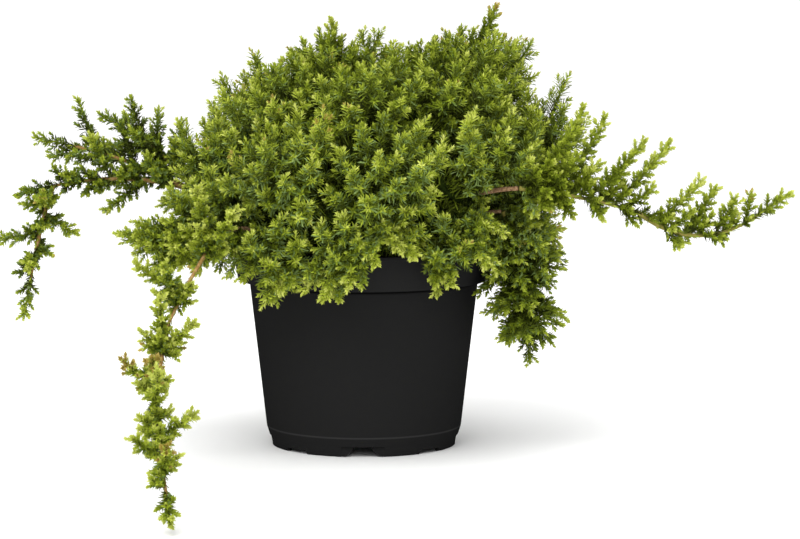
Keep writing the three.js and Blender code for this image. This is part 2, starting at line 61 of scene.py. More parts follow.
# %% [markdown]
# ## Camera
# The photograph was taken from a little above the pot's rim with a long lens, so the rim is a thin
# ellipse. A camera 2.2 m away, 364 mm above the floor and tilted down by 6.2 degrees gives the same
# ellipse. The focal length follows from the pot's width in the picture.

# %% Camera
PICTURE_WIDTH, FOCAL_PIXELS, SENSOR_MM = 800, 3105.3, 36
CAMERA_PLACE, TILT_DEGREES = (0.0258, -2.2, 0.3642), 6.2205
camera_data = bpy.data.cameras.new("camera")
camera_data.sensor_width = SENSOR_MM
camera_data.lens = FOCAL_PIXELS / PICTURE_WIDTH * SENSOR_MM
camera = new_object("camera", camera_data)
camera.location = CAMERA_PLACE
camera.rotation_euler = (math.radians(90 - TILT_DEGREES), 0, 0)
bpy.context.scene.camera = camera
print("lens in mm:", round(camera_data.lens, 1))

# %% [markdown]
# ## Materials
# Every material is a small tree of nodes. One helper adds a node, sets what it is told and links its
# inputs, and one turns the familiar screen colours into the linear ones that light needs.
# Most of these surfaces are mottled: one soft noise gives both their colours and their bumps.

# %% Node helper and colours
def linear(hex_colour):
    """A screen colour such as #7a5236 as linear red, green, blue and alpha."""
    channels = [int(hex_colour[i:i + 2], 16) / 255 for i in (1, 3, 5)]
    return tuple(c / 12.92 if c <= 0.04045 else ((c + 0.055) / 1.055) ** 2.4 for c in channels) + (1.0,)


def add_node(tree, kind, settings=None, links=None):
    """Adds a node. A setting is an input's value or one of the node's own properties."""
    node = tree.nodes.new(kind)
    for key, value in (settings or {}).items():
        if key in node.inputs:
            node.inputs[key].default_value = value
        else:
            setattr(node, key, value)
    for key, source in (links or {}).items():
        tree.links.new(source, node.inputs[key])
    return node


def new_material(name):
    """A material with an empty tree and its output."""
    material = bpy.data.materials.new(name)
    material.use_nodes = True
    material.node_tree.nodes.clear()
    return material, material.node_tree


def ramp(tree, factor, stops):
    """A ramp through screen colours, each at its place from 0 to 1."""
    node = add_node(tree, "ShaderNodeValToRGB", links={"Fac": factor})
    elements = node.color_ramp.elements
    while len(elements) < len(stops):
        elements.new(1)
    for element, (place, hex_colour) in zip(elements, stops):
        element.position = place
        element.color = linear(hex_colour)
    return node.outputs["Color"]


def surface(tree, settings, links):
    """The shader and the output of a surface."""
    shader = add_node(tree, "ShaderNodeBsdfPrincipled", settings, links)
    add_node(tree, "ShaderNodeOutputMaterial", links={"Surface": shader.outputs["BSDF"]})


def mapped(tree, value, settings):
    """A value moved from one range to another."""
    return add_node(tree, "ShaderNodeMapRange", settings, {"Value": value}).outputs["Result"]


def object_place(tree):
    return add_node(tree, "ShaderNodeTexCoord").outputs["Object"]


def patches(tree, size_mm, detail=3.0, roughness=0.55):
    """Soft noise whose patches are about as wide as the given size."""
    settings = {"Scale": 1 / (size_mm * MM), "Detail": detail, "Roughness": roughness}
    return add_node(tree, "ShaderNodeTexNoise", settings, {"Vector": object_place(tree)}).outputs["Fac"]


def bumps(tree, height, strength, depth_mm):
    """The normal of a surface with bumps of the given depth."""
    settings = {"Strength": strength, "Distance": depth_mm * MM}
    return add_node(tree, "ShaderNodeBump", settings, {"Height": height}).outputs["Normal"]


def mottled(name, stops, patch_mm, settings, detail=3.0, roughness=0.55, strength=1.0, depth_mm=0):
    """A material whose colours, and bumps if it has any, follow one soft noise."""
    material, tree = new_material(name)
    tone = patches(tree, patch_mm, detail, roughness)
    links = {"Base Color": ramp(tree, tone, stops)}
    if depth_mm:
        links["Normal"] = bumps(tree, tone, strength, depth_mm)
    surface(tree, settings, links)
    return material


print("screen grey #808080 as light:", round(linear("#808080")[0], 3))

# %% [markdown]
# A juniper needle is firm and waxy. Its back is green, and its inner face carries a pale band of
# breathing pores, which makes old sprays look grey-green from above. The colour runs from almost black
# green in the shade through mid green to yellow-green buds, some of them tanned by the sun. Each age is
# a plain material of its own, dealt out needle by needle, with a slow drift of tone from spray to spray.

# %% Needle materials
DRIFT_MM = 14
NEEDLES = {
    "shade": ("needle_shaded", "#2b3309", "#40490f", 0.7, 0.15),
    "old": ("needle_old", "#505e12", "#6a791b", 0.55, 0.2),
    "mid": ("needle_mid", "#74851a", "#8d9c28", 0.5, 0.3),
    "fresh": ("needle_fresh", "#98a72c", "#b2be42", 0.5, 0.3),
    "bud": ("needle_bud", "#bcc64e", "#d4da76", 0.5, 0.3),
    "tan": ("needle_tanned", "#ab9c48", "#c0ad60", 0.55, 0.25),
    "waxy": ("needle_waxy_band", "#687f39", "#8aa05e", 0.6, 0.3),
}
TINT = {tint: index for index, tint in enumerate(NEEDLES)}


def needle_material(name, low, high, roughness, shine):
    settings = {"Roughness": roughness, "IOR": 1.45, "Specular IOR Level": shine}
    return mottled(name, [(0.34, low), (0.66, high)], DRIFT_MM, settings)


needle_materials = [needle_material(*row) for row in NEEDLES.values()]
print("needle tints:", ", ".join(NEEDLES))

# %% [markdown]
# Young bark of this juniper is red-brown and peels in thin lengthwise flakes, greying where it is older.
# The stems of the current year are smooth and change from tan to olive green towards their tips.

# %% Bark and stem materials
def bark_material(name, stops, flake_mm, relief_mm):
    settings = {"Roughness": 0.85, "Specular IOR Level": 0.2}
    return mottled(name, stops, flake_mm, settings, 6.0, 0.7, 0.9, relief_mm)


juniper_bark = bark_material(
    "juniper_bark", [(0.3, "#4a3424"), (0.5, "#8d6c4e"), (0.62, "#b29470"), (0.74, "#c9b497")], 2.2, 0.4
)
tan_stem = bark_material("young_tan_stem", [(0.3, "#6b5330"), (0.5, "#93733f"), (0.7, "#b0946a")], 3.0, 0.2)
green_stem = bark_material(
    "young_green_stem", [(0.3, "#6f662c"), (0.5, "#857f3a"), (0.72, "#a08e54")], 3.0, 0.15
)
green_twig = bark_material("green_twig", [(0.3, "#46501c"), (0.55, "#5f6c28"), (0.75, "#76793a")], 3.0, 0.1)
print("wood materials:", *[wood.name for wood in (juniper_bark, tan_stem, green_stem, green_twig)])

# %% [markdown]
# ## Directions and curves
# Every limb, twig and needle has a heading, and most need two more directions square to it, so that
# something can be set round them.

# %% Directions and curves
UP = np.array([0.0, 0.0, 1.0])
TURN = 2 * math.pi


def unit(vectors):
    vectors = np.asarray(vectors, float)
    return vectors / np.linalg.norm(vectors, axis=-1, keepdims=True)


def lerp(a, b, t):
    return a + (b - a) * t


def across(direction):
    """Two directions square to one another and to the given one."""
    side = np.array([1.0, 0.0, 0.0]) if abs(direction[2]) > 0.9 else UP
    u = unit(np.cross(side, direction))
    return u, np.cross(direction, u)


def frames(headings, first):
    """For each heading two directions square to it, the first ones all on the same side."""
    u = across(first)[0]
    u = unit(u - headings * (headings @ u)[:, None])
    return u, np.cross(headings, u)


def quadratic(start, knee, end, t):
    return (1 - t) ** 2 * start + 2 * t * (1 - t) * knee + t**2 * end


def spun(points, angle):
    """Points turned about the upright axis."""
    c, s = math.cos(angle), math.sin(angle)
    return points @ np.array([[c, s, 0], [-s, c, 0], [0, 0, 1]])


print("a quarter turn takes 1, 0, 0 to", spun(np.array([1.0, 0, 0]), TURN / 4).round(3))

# %% [markdown]
# ## Meshes from arrays
# A million small faces are too many to make one at a time, so each kind of thing is worked out as
# arrays of points and triangles, and becomes a mesh in one step.

# %% Mesh helpers
ROOT_BODY = "root"


def repeated(faces, count):
    """The same faces on each of many small bodies with four corners."""
    return (np.array(faces)[None] + 4 * np.arange(count)[:, None, None]).reshape(-1, 3)


def mesh_piece(name, points, triangles, materials, material_of=None, smooth=False):
    """Makes an object on the root body from points in millimetres and triangles."""
    mesh = bpy.data.meshes.new(name)
    mesh.vertices.add(len(points))
    mesh.vertices.foreach_set("co", (np.asarray(points) * MM).astype(np.float32).ravel())
    mesh.loops.add(len(triangles) * 3)
    mesh.loops.foreach_set("vertex_index", np.asarray(triangles, np.int32).ravel())
    mesh.polygons.add(len(triangles))
    mesh.polygons.foreach_set("loop_start", 3 * np.arange(len(triangles), dtype=np.int32))
    for material in materials:
        mesh.materials.append(material)
    if material_of is not None:
        mesh.polygons.foreach_set("material_index", np.asarray(material_of, np.int32))
    mesh.polygons.foreach_set("use_smooth", np.full(len(triangles), smooth))
    mesh.update(calc_edges=True)
    piece = new_object(name, mesh)
    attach(piece, ROOT_BODY)
    print(f"{name}: {len(triangles)} triangles")
    return piece


def joined(parts):
    """Several pairs of points and triangles as one pair."""
    starts = np.cumsum([0] + [len(points) for points, _ in parts[:-1]])
    points = np.concatenate([points for points, _ in parts])
    return points, np.concatenate([triangles + start for (_, triangles), start in zip(parts, starts)])


def ring_walls(rings, sides):
    """The triangles between each ring of points and the next."""
    row, side = np.meshgrid(np.arange(rings - 1), np.arange(sides), indexing="ij")
    a = (row * sides + side).ravel()
    b = (row * sides + (side + 1) % sides).ravel()
    return np.concatenate([np.stack([a, b, b + sides], 1), np.stack([a, b + sides, a + sides], 1)])


def tube(centres, radii, sides):
    """A closed tube along a line of points. A radius may be one number or one for each side."""
    centres = np.asarray(centres, float)
    tangents = unit(np.gradient(centres, axis=0))
    angles = np.arange(sides) * TURN / sides
    u, _ = across(tangents[0])
    rings = []
    for centre, tangent, radius in zip(centres, tangents, radii):
        u = unit(u - tangent * (u @ tangent))
        w = np.cross(tangent, u)
        circle = np.cos(angles)[:, None] * u + np.sin(angles)[:, None] * w
        rings.append(centre + np.reshape(radius, (-1, 1)) * circle)
    fan = np.arange(1, sides - 1)
    foot = np.stack([0 * fan, fan + 1, fan], 1)
    top = np.stack([0 * fan, fan, fan + 1], 1) + (len(rings) - 1) * sides
    return np.concatenate(rings), np.concatenate([ring_walls(len(rings), sides), foot, top])


print("a tube of 3 rings with 8 sides has", len(ring_walls(3, 8)), "wall triangles")

# %% [markdown]
# ## The pot
# A three litre nursery pot is injection moulded from black polypropylene about 2 mm thick. It is a
# lathe shape: a slightly tapering wall, a wide band under the rim that lets the pots stack, and a
# stepped foot. The outline is turned in many fine steps, and its edges are rounded as a mould rounds
# them.

# %% Pot sizes and outline
POT = SimpleNamespace(
    height=143, rim_radius=95, lip_height=2.8, band_top_radius=93.2, band_foot_radius=90.6,
    band_foot_height=118.5, band_rounding=3, wall_top_radius=81.3, wall_foot_radius=69.5,
    wall_foot_height=13.4, foot_top_radius=67.4, foot_height=6.8, foot_radius=66.1, foot_width=3.4,
    wall=1.9, floor_underside=8.2, floor_top=10.4, pad_radius=21,
)
DRAIN = SimpleNamespace(
    count=8, wide=30, wide_height=7.4, narrow=19, narrow_height=2.7, lobe=8.6, lobe_set_back=1.2
)
SOIL_TOP = 129
DRAIN_INSET, DRAIN_DEPTH, RECESS_DEPTH = 8, 14, 8
MOULD_ROUNDING, POT_SIDES, SHARP_DEGREES = 1.1, 160, 32


def rounded(outline, radius, steps=3):
    """The closed outline with each corner replaced by a small arc, no longer than its edges allow."""
    outline = np.asarray(outline, float)
    result = []
    for i, corner in enumerate(outline):
        before, after = outline[i - 1] - corner, outline[(i + 1) % len(outline)] - corner
        if corner[0] == 0:
            result.append(corner)
            continue
        cut = min(radius, 0.4 * np.linalg.norm(before), 0.4 * np.linalg.norm(after))
        start, end = corner + unit(before) * cut, corner + unit(after) * cut
        for t in np.linspace(0, 1, steps + 1):
            result.append(lerp(lerp(start, corner, t), lerp(corner, end, t), t))
    return np.array(result)


def turned(outline, sides):
    """A solid turned about the upright axis from an outline that starts and ends on it."""
    angles = np.arange(sides) * TURN / sides
    inner = outline[1:-1]
    rings = [np.stack([r * np.cos(angles), r * np.sin(angles), np.full(sides, z)], 1) for r, z in inner]
    points = np.concatenate(rings + [[[0, 0, outline[0][1]]], [[0, 0, outline[-1][1]]]])
    here = np.arange(sides)
    ahead = (here + 1) % sides
    last = (len(inner) - 1) * sides
    foot = np.stack([0 * here + len(points) - 2, ahead, here], 1)
    top = np.stack([0 * here + len(points) - 1, here + last, ahead + last], 1)
    return points, np.concatenate([ring_walls(len(inner), sides), foot, top])


wall_lean = (POT.wall_top_radius - POT.wall_foot_radius) / (POT.band_foot_height - POT.wall_foot_height)
print("the pot's wall leans by", round(math.degrees(math.atan(wall_lean)), 1), "degrees")

# %% [markdown]
# Moulded polypropylene is satin: its skin copies the fine spark-eroded grain of the steel mould, which
# breaks up reflections, and handling leaves faint duller patches. The black is carbon, so it stays very
# dark. A thin paler ring on the edge above the foot is a painted highlight, and a darker ring in the
# corner under the band is painted shade.

# %% Pot material
# The second tone is a painted highlight and the third is painted shade.
BLACK, PAINTED_FOOT_HIGHLIGHT, PAINTED_BAND_SHADE = "#202020", "#3e3e3e", "#090909"


def polypropylene():
    material, tree = new_material("black_moulded_polypropylene")
    rub = patches(tree, 28, 2.0)
    grain = patches(tree, 0.7, 2.0)
    height = add_node(tree, "ShaderNodeSeparateXYZ", links={"Vector": object_place(tree)}).outputs["Z"]
    edge, corner = POT.wall_foot_height + 0.3, POT.band_foot_height
    # A painted highlight ring on the edge above the foot, and a painted shade ring in the corner under the
    # band.
    rings = [
        (edge - 0.5, BLACK), (edge, PAINTED_FOOT_HIGHLIGHT), (edge + 0.5, BLACK),
        (corner - 3.2, BLACK), (corner - 1.8, PAINTED_BAND_SHADE), (corner - 0.4, PAINTED_BAND_SHADE), (corner, "#232323"),
    ]
    stops = [(ring_height / POT.height, tone) for ring_height, tone in rings]
    links = {
        "Base Color": ramp(tree, mapped(tree, height, {"From Max": POT.height * MM}), stops),
        "Roughness": mapped(tree, rub, {"To Min": 0.5, "To Max": 0.62}),
        "Normal": bumps(tree, grain, 0.12, 0.05),
    }
    surface(tree, {"IOR": 1.49, "Specular IOR Level": 0.0}, links)
    return material


pot_plastic = polypropylene()
print("pot material:", pot_plastic.name)

# %% [markdown]
# Steel blocks in the mould leave the drain gaps of a real pot. Here blocks of the same outlines are
# taken away from the turned body, so that the gaps get true edges: a wide gap with round lobes and a
# plain narrow one by turns round the foot.

# %% Turn the pot and cut its drain gaps
def prism(outline, depth, inset, turn):
    """A cutter with an upright outline, pushed outwards through the foot at the given turn."""
    count = len(outline)
    near = inset - POT.foot_radius
    points = np.array([(x, y, z) for y in (near, near - depth) for x, z in outline], float)
    mesh = bpy.data.meshes.new("cutter")
    faces = [list(range(count))[::-1], list(range(count, 2 * count))]
    faces += [[i, (i + 1) % count, count + (i + 1) % count, count + i] for i in range(count)]
    mesh.from_pydata((spun(points, turn) * MM).tolist(), [], faces)
    return new_object("cutter", mesh)


def box_outline(half, height):
    return [(-half, -1), (half, -1), (half, height), (-half, height)]


def wide_drain_outline():
    """The upright outline of a wide gap, which round lobes narrow towards its top."""
    half = DRAIN.wide / 2
    arc = np.linspace(-np.pi / 2, -np.pi, 9)
    right = [
        (half + DRAIN.lobe * math.cos(a), DRAIN.wide_height + DRAIN.lobe * 0.8 * math.sin(a)) for a in arc
    ]
    return [(-half, -1), (half, -1), *right, *[(-x, z) for x, z in reversed(right)]]


def cut_with(piece, cutters):
    for cutter in cutters:
        modifier = piece.modifiers.new("drain", "BOOLEAN")
        modifier.object = cutter
        modifier.operation = "DIFFERENCE"
        modifier.solver = "EXACT"
    bpy.context.view_layer.update()
    graph = bpy.context.evaluated_depsgraph_get()
    mesh = bpy.data.meshes.new_from_object(piece.evaluated_get(graph))
    piece.modifiers.clear()
    piece.data = mesh
    for cutter in cutters:
        bpy.data.objects.remove(cutter)


def make_pot():
    p = POT
    edge = p.height - p.lip_height
    outline = [
        (0, 0), (p.pad_radius - 1, 0), (p.pad_radius, p.floor_underside),
        (p.foot_radius - p.foot_width, p.floor_underside), (p.foot_radius - p.foot_width, 0),
        (p.foot_radius, 0), (p.foot_top_radius, p.foot_height), (p.wall_foot_radius, p.wall_foot_height),
        (p.wall_top_radius, p.band_foot_height - 2), (p.band_foot_radius - 1, p.band_foot_height),
        (p.band_top_radius, edge), (p.rim_radius, edge), (p.rim_radius, p.height),
        (p.band_top_radius - p.wall, p.height),
        (p.band_foot_radius - p.wall, p.band_foot_height + p.band_rounding),
        (p.wall_top_radius - p.wall, p.band_foot_height - 1), (p.foot_radius - p.wall, p.floor_top),
        (0, p.floor_top),
    ]
    points, triangles = turned(rounded(outline, MOULD_ROUNDING), POT_SIDES)
    pot = mesh_piece("nursery_pot", points, triangles, [pot_plastic], smooth=True)
    cutters = []
    for k in range(DRAIN.count):
        turn = k * TURN / DRAIN.count
        if k % 2:
            narrow = box_outline(DRAIN.narrow / 2, DRAIN.narrow_height)
            cutters.append(prism(narrow, DRAIN_DEPTH, DRAIN_INSET, turn))
        else:
            recess = box_outline(DRAIN.wide / 2, DRAIN.wide_height)
            cutters.append(prism(wide_drain_outline(), DRAIN_DEPTH, DRAIN_INSET, turn))
            cutters.append(prism(recess, RECESS_DEPTH, DRAIN.lobe_set_back, turn))
    cut_with(pot, cutters)
    pot.data.shade_smooth()
    pot.data.set_sharp_from_angle(angle=math.radians(SHARP_DEGREES))
    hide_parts("pot")
    print("pot faces after the drain gaps:", len(pot.data.polygons))


make_pot()

# %% [markdown]
# ## The compost
# Nursery compost is fibrous peat with bits of bark. It lies in crumbs a few millimetres across, so the
# surface is a fine disc whose points are lifted by noise, with loose bark chips on top of it.

# %% Compost
PEAT_TONES = [(0.3, "#120b07"), (0.55, "#2e1e13"), (0.75, "#4d3522")]
CHIP_TONES = [(0.3, "#2a1a10"), (0.55, "#5b3d28"), (0.75, "#8a6a4c")]
POT_GAP, CRUMB_ROWS, CRUMB_SIDES = 0.8, 46, 140
CHIP_COUNT, CHIPS_REACH = 420, 84


def make_compost():
    settings = {"Roughness": 0.95, "Specular IOR Level": 0.15}
    peat = mottled("peat_compost", PEAT_TONES, 3.0, settings, 8.0, 0.7, 1.0, 1.2)
    radius = lerp(POT.band_foot_radius, POT.band_top_radius, 0.35) - POT.wall - POT_GAP
    outline = [
        (0, POT.floor_top + 0.3), (POT.foot_radius - 3, POT.floor_top + 0.3),
        (POT.wall_top_radius - POT.wall - POT_GAP, POT.band_foot_height - 2), (radius - 1.5, SOIL_TOP - 6),
    ]
    outline += [(radius * (k / CRUMB_ROWS) ** 0.8, SOIL_TOP) for k in range(CRUMB_ROWS, -1, -1)]
    points, triangles = turned(np.array(outline), CRUMB_SIDES)
    for i in np.nonzero(points[:, 2] > SOIL_TOP - 0.5)[0]:
        place = Vector(points[i] * 0.16)
        calm = min(1.0, (radius - np.hypot(*points[i][:2])) / 4)
        points[i][2] += calm * (1.3 * noise.noise(place) + 0.8 * noise.noise(place * 3.1)) - 0.9
    soil = mesh_piece("compost", points, triangles, [peat], smooth=False)
    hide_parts("soil")


def bark_chips():
    """Loose chips, each a bent slip of bark with six corners, lying flat at its own turn."""
    random = np.random.default_rng(11)
    parts = []
    faces = np.array([[0, 1, 2], [0, 2, 3], [0, 3, 4], [0, 4, 1], [5, 2, 1], [5, 3, 2], [5, 4, 3], [5, 1, 4]])
    for _ in range(CHIP_COUNT):
        far = CHIPS_REACH * math.sqrt(random.random())
        turn = random.random() * TURN
        long, wide, thick = random.uniform(1.6, 5.5), random.uniform(0.8, 2.0), random.uniform(0.4, 0.9)
        ends = [[long, 0, 0], [0, wide, 0.2], [-long, 0.3, 0], [0, -wide, 0]]
        shape = np.array([[0, 0, thick], *ends, [0, 0, -thick]])
        shape[:, 2] += random.normal(0, 0.25, 6)
        centre = [far * math.cos(turn), far * math.sin(turn), SOIL_TOP + 0.4]
        parts.append((spun(shape, random.random() * math.pi) + centre, faces))
    chips = mesh_piece("bark_chips", *joined(parts), [bark_material("bark_chip", CHIP_TONES, 1.5, 0.3)])


make_compost()
bark_chips()

# %% [markdown]
# ## The plant's plan
# The model was grown by a rule: a whorl of boughs, and masses of foliage that each have one stem and
# keep to their own space. The same rule is written again here from the same few sizes, so that the
# fine growth sits exactly where the solids are. A tiny random series with a fixed seed makes the
# choices, and gives the same plant every time.

# %% Boughs
TRUNK = SimpleNamespace(height=44, foot_radius=8.4, top_radius=5.6, flare=4.6, lean=np.array([5.0, 2, 0]))
BOUGHS = SimpleNamespace(count=9, reach=50, tip_height=169, higher=4, lower=-3, rise=4, radii=(2.9, 2.4))
LEADERS = SimpleNamespace(count=3, reach=20, tip_height=204, rise=-5, radii=(2.4, 2.6), share=0.88)
BOUGH_SHARES = {"high": 0.76, "low": 0.56, "last": 0.66}
GAP = 0.3
STEM_RADIUS = 1.35
TRUNK_FOOT = np.array([0, 0, SOIL_TOP + GAP])


def series(seed):
    """A small seeded random series from 0 to 1."""
    state = seed & 0xFFFFFFFF
    while True:
        state = (state * 1664525 + 1013904223) & 0xFFFFFFFF
        yield state / 4294967296


class Bow:
    """The curve of a limb or a stem, which bows upwards between its two ends."""

    def __init__(self, start, end, rise):
        self.start, self.end = np.asarray(start, float), np.asarray(end, float)
        self.knee = (self.start + self.end) / 2 + UP * rise

    def point(self, t):
        return quadratic(self.start, self.knee, self.end, np.asarray(t, float)[..., None])

    def tangent(self, t):
        t = np.asarray(t, float)[..., None]
        return unit((1 - t) * (self.knee - self.start) + t * (self.end - self.knee))


def trunk_point(share):
    return TRUNK_FOOT + TRUNK.lean * share + UP * TRUNK.height * share


def whorl_azimuth(i, count, turned_by=0):
    """The first faces the viewer, and the rest follow right and left in turn."""
    side = 1 if i % 2 else -1
    return 270 + turned_by + side * math.ceil(i / 2) * 360 / count


def around(azimuth, radius, z):
    a = math.radians(azimuth)
    return np.array([radius * math.cos(a), radius * math.sin(a), z])


boughs = []


def add_bough(name, share, tip, rise, radii):
    boughs.append(SimpleNamespace(name=name, curve=Bow(trunk_point(share), tip, rise), radii=radii))


for i in range(BOUGHS.count):
    high = math.ceil(i / 2) % 2 == 0
    level = "last" if i == BOUGHS.count - 1 else "high" if high else "low"
    tip_height = BOUGHS.tip_height + (BOUGHS.higher if high else BOUGHS.lower)
    tip = around(whorl_azimuth(i, BOUGHS.count), BOUGHS.reach, tip_height)
    add_bough(f"bough_{i + 1}", BOUGH_SHARES[level], tip, BOUGHS.rise, BOUGHS.radii)
for i in range(LEADERS.count):
    tip = around(whorl_azimuth(i, LEADERS.count), LEADERS.reach, LEADERS.tip_height) + TRUNK.lean
    add_bough(f"leader_{i + 1}", LEADERS.share, tip, LEADERS.rise, LEADERS.radii)
add_bough("bough_left", 0.3, (-124, 4, 183), 8, (3.2, 2))
add_bough("bough_right", 0.36, (106, -92, 190), 16, (3.4, 2.2))
add_bough("bough_hanging", 0.14, (96, -56, 171), 14, (2.8, 1.9))
add_bough("bough_trailing", 0.16, (-92, -76, 160), 14, (3.2, 2))
print("boughs:", len(boughs))

# %% [markdown]
# The crown is a full dome whose top leans to the right. `crown_share` says how far out a point lies in
# it: 1 on the outline, 0 in the middle. Masses are set round it in tiers, each from a bough's tip
# to its own furthest point, and the runners leave it to the left, to the right and to the front.

# %% Crown and masses
CROWN = SimpleNamespace(
    middle=np.array([1.0, 0, 168]), half=np.array([148.0, 141, 118]), fullness=2.7, lean=26,
    core=46, top_core=34,
)
TIERS = [
    dict(name="skirt", count=9, elevation=-15, share=0.98, rise=18, turned_by=0),
    dict(name="shoulder", count=9, elevation=20, share=1, rise=2, turned_by=10),
    dict(name="upper", count=7, elevation=50, share=0.99, rise=-4, turned_by=0),
]
VIEWER = np.array([0.0, -1.0, 0.0])
masses = []


def crown_share(points):
    height = (points[..., 2] - CROWN.middle[2]) / CROWN.half[2]
    dx = (points[..., 0] - CROWN.middle[0] - CROWN.lean * np.maximum(0, height)) / CROWN.half[0]
    flat = np.hypot(dx, (points[..., 1] - CROWN.middle[1]) / CROWN.half[1])
    return (flat**CROWN.fullness + np.abs(height) ** CROWN.fullness) ** (1 / CROWN.fullness)


def moved_to(point, share):
    """The point moved along its ray from the crown's middle until it lies at the given share."""
    for _ in range(4):
        point = (point - CROWN.middle) * (share / crown_share(point)) + CROWN.middle
    return point


def add_mass(name, bough, tip, **habit):
    rule = dict(core=0, side=None, swing=75, lift=0.15, last=0.7, length=34, shoots=8, rise=4, crown=False)
    place = {"name": name, "bough": bough, "tip": np.array(tip, float)}
    masses.append(SimpleNamespace(**{**rule, **habit, **place}))


def nearest_leader(point):
    leaders = [bough for bough in boughs if bough.name.startswith("leader")]
    return min(leaders, key=lambda bough: np.linalg.norm(bough.curve.end - point)).name


for tier in TIERS:
    for i in range(tier["count"]):
        random = series(i * 97 + tier["count"] + tier["elevation"] + 500)
        azimuth = whorl_azimuth(i, tier["count"], tier["turned_by"]) + 6 * (next(random) - 0.5)
        elevation = math.radians(tier["elevation"] + 5 * (next(random) - 0.5))
        ray = around(azimuth, math.cos(elevation), 0) + UP * math.sin(elevation)
        tip = moved_to(CROWN.middle + 100 * ray, tier["share"] * (0.98 + 0.05 * next(random)))
        bough = nearest_leader(tip) if tier["name"] == "upper" else f"bough_{i + 1}"
        add_mass(f"{tier['name']}_{i + 1}", bough, tip, crown=True, core=CROWN.core, rise=tier["rise"])
for name, bough, tip, rise in [
    ("top_right", nearest_leader(np.array([93, 6, 311])), (93, 6, 311), -8),
    ("top_back", "leader_2", (22, 48, 274), 0),
    ("top_left", "leader_3", (-22, -4, 301), 4),
]:
    add_mass(name, bough, tip, crown=True, core=CROWN.top_core, rise=rise)
add_mass("left_high", "bough_left", (-184, 14, 239), length=32, rise=6, core=8, last=0.9)
add_mass("left_far", "bough_left", (-232, 8, 221), rise=6, core=8, last=0.9)
add_mass("left_arch", "bough_left", (-241, -42, 188), rise=12, side=VIEWER)
add_mass("left_arch_tip", "left_arch", (-238, -55, 98), length=30, rise=10, side=VIEWER, swing=85)
add_mass("low_left", "bough_trailing", (-155, -98, 150), length=36, core=15, lift=-0.2, last=1)
add_mass("trail_upper", "bough_trailing", (-136, -190, 92), length=42, rise=12, side=UP, lift=0.7)
add_mass("trail_middle", "trail_upper", (-132, -272, 50), rise=2, side=UP, lift=0.7)
add_mass("trail_tip", "trail_middle", (-113, -352, 9), length=30, side=UP, lift=0.5)
add_mass("right_runner", "bough_right", (214, -70, 167), length=57, side=UP, swing=30, last=0.72)
add_mass("right_runner_tip", "right_runner", (299, -66, 168), shoots=7, length=40, rise=-30, side=UP,
         swing=35, last=0.4)
add_mass("hanging_right", "bough_hanging", (119, -42, 66), shoots=13, length=38, rise=16, core=15, last=0.95)
print("masses:", len(masses))

# %% [markdown]
# Each mass has one stem. Stems that share a bough stand side by side on its end. A mass keeps to the
# space that lies nearer to its own stem than to any other, which is measured against short straight
# pieces of all the stems at once.

# %% Stems and the space of each mass
TIP_SHOOT = 34
TIP_SHARE = 0.8
SEAT_RADIUS = 2.2
FLOOR_CLEARANCE = 4
POT_CLEARANCE = 4
CORE_SHARE, THIN_CORE = 0.76, 10


def seat(parent, mass, siblings):
    """The place of a mass's stem beside its siblings' on the end of their bough."""
    if len(siblings) == 1:
        return np.zeros(3)
    heading = unit(mass.tip - parent.curve.point(1))
    if not hasattr(parent, "seats"):
        u, w = across(parent.curve.tangent(1))
        turns = [k * TURN / len(siblings) + math.pi / 2 for k in range(len(siblings))]
        parent.seats = [u * math.cos(turn) + w * math.sin(turn) for turn in turns]
    parent.seats.sort(key=lambda place: -(place @ heading))
    return parent.seats.pop(0) * SEAT_RADIUS


def grow_stem(mass):
    parent = next(limb for limb in boughs + masses if limb.name == mass.bough)
    end, along = parent.curve.point(1), parent.curve.tangent(1)
    offset = seat(parent, mass, [other for other in masses if other.bough == mass.bough])
    stop = mass.tip - unit(mass.tip - end) * TIP_SHOOT * TIP_SHARE
    slant = math.sqrt(max(0, 1 - (Bow(end, stop, mass.rise).tangent(0) @ along) ** 2))
    start = end + along * (GAP + 0.05 + STEM_RADIUS * slant) + offset
    mass.curve = Bow(start, stop, mass.rise)
    steps = np.diff(mass.curve.point(np.linspace(0, 1, 33)), axis=0)
    mass.length_along = float(np.linalg.norm(steps, axis=1).sum())


for order, mass in enumerate(masses):
    mass.order = order
    grow_stem(mass)

lines = [np.vstack([mass.curve.point(np.linspace(0, 1, 9)), mass.tip]) for mass in masses]
starts = np.concatenate([line[:-1] for line in lines])
spans = np.concatenate([line[1:] - line[:-1] for line in lines])
first_span = np.cumsum([0] + [len(line) - 1 for line in lines[:-1]])
spans_squared = np.maximum((spans**2).sum(1), 1e-9)


def distances(points):
    """How far each point is from the stem of every mass."""
    offset = points[:, None] - starts[None]
    t = np.clip((offset * spans).sum(2) / spans_squared, 0, 1)
    apart = np.linalg.norm(offset - t[..., None] * spans, axis=2)
    return np.minimum.reduceat(apart, first_span, axis=1)


def is_free(mass, points, tolerance=0):
    """Whether each point is in the mass's own space, off the floor and clear of the pot."""
    far = np.hypot(points[:, 0], points[:, 1])
    under_band = points[:, 2] < POT.band_foot_height - 3
    pot_radius = np.where(under_band, POT.wall_top_radius, POT.rim_radius)
    clear = (far > pot_radius + POT_CLEARANCE) | (points[:, 2] > POT.height + POT_CLEARANCE)
    apart = distances(points)
    own = apart[:, mass.order] - tolerance
    apart[:, mass.order] = np.inf
    return clear & (points[:, 2] > FLOOR_CLEARANCE) & (apart.min(1) > own)


def core_reach(mass, start, direction, most):
    """How far the dense middle of a mass may reach from a point of its stem."""
    reach = np.arange(2, most, 2.0)
    points = start + reach[:, None] * direction
    blocked = ~is_free(mass, points)
    if mass.crown:
        blocked |= crown_share(points) > CORE_SHARE
    return float(reach[np.argmax(blocked)]) if blocked.any() else float(most)


stem_lengths = [round(mass.length_along) for mass in masses]
print("stems:", len(masses), "from", min(stem_lengths), "to", max(stem_lengths), "mm long")

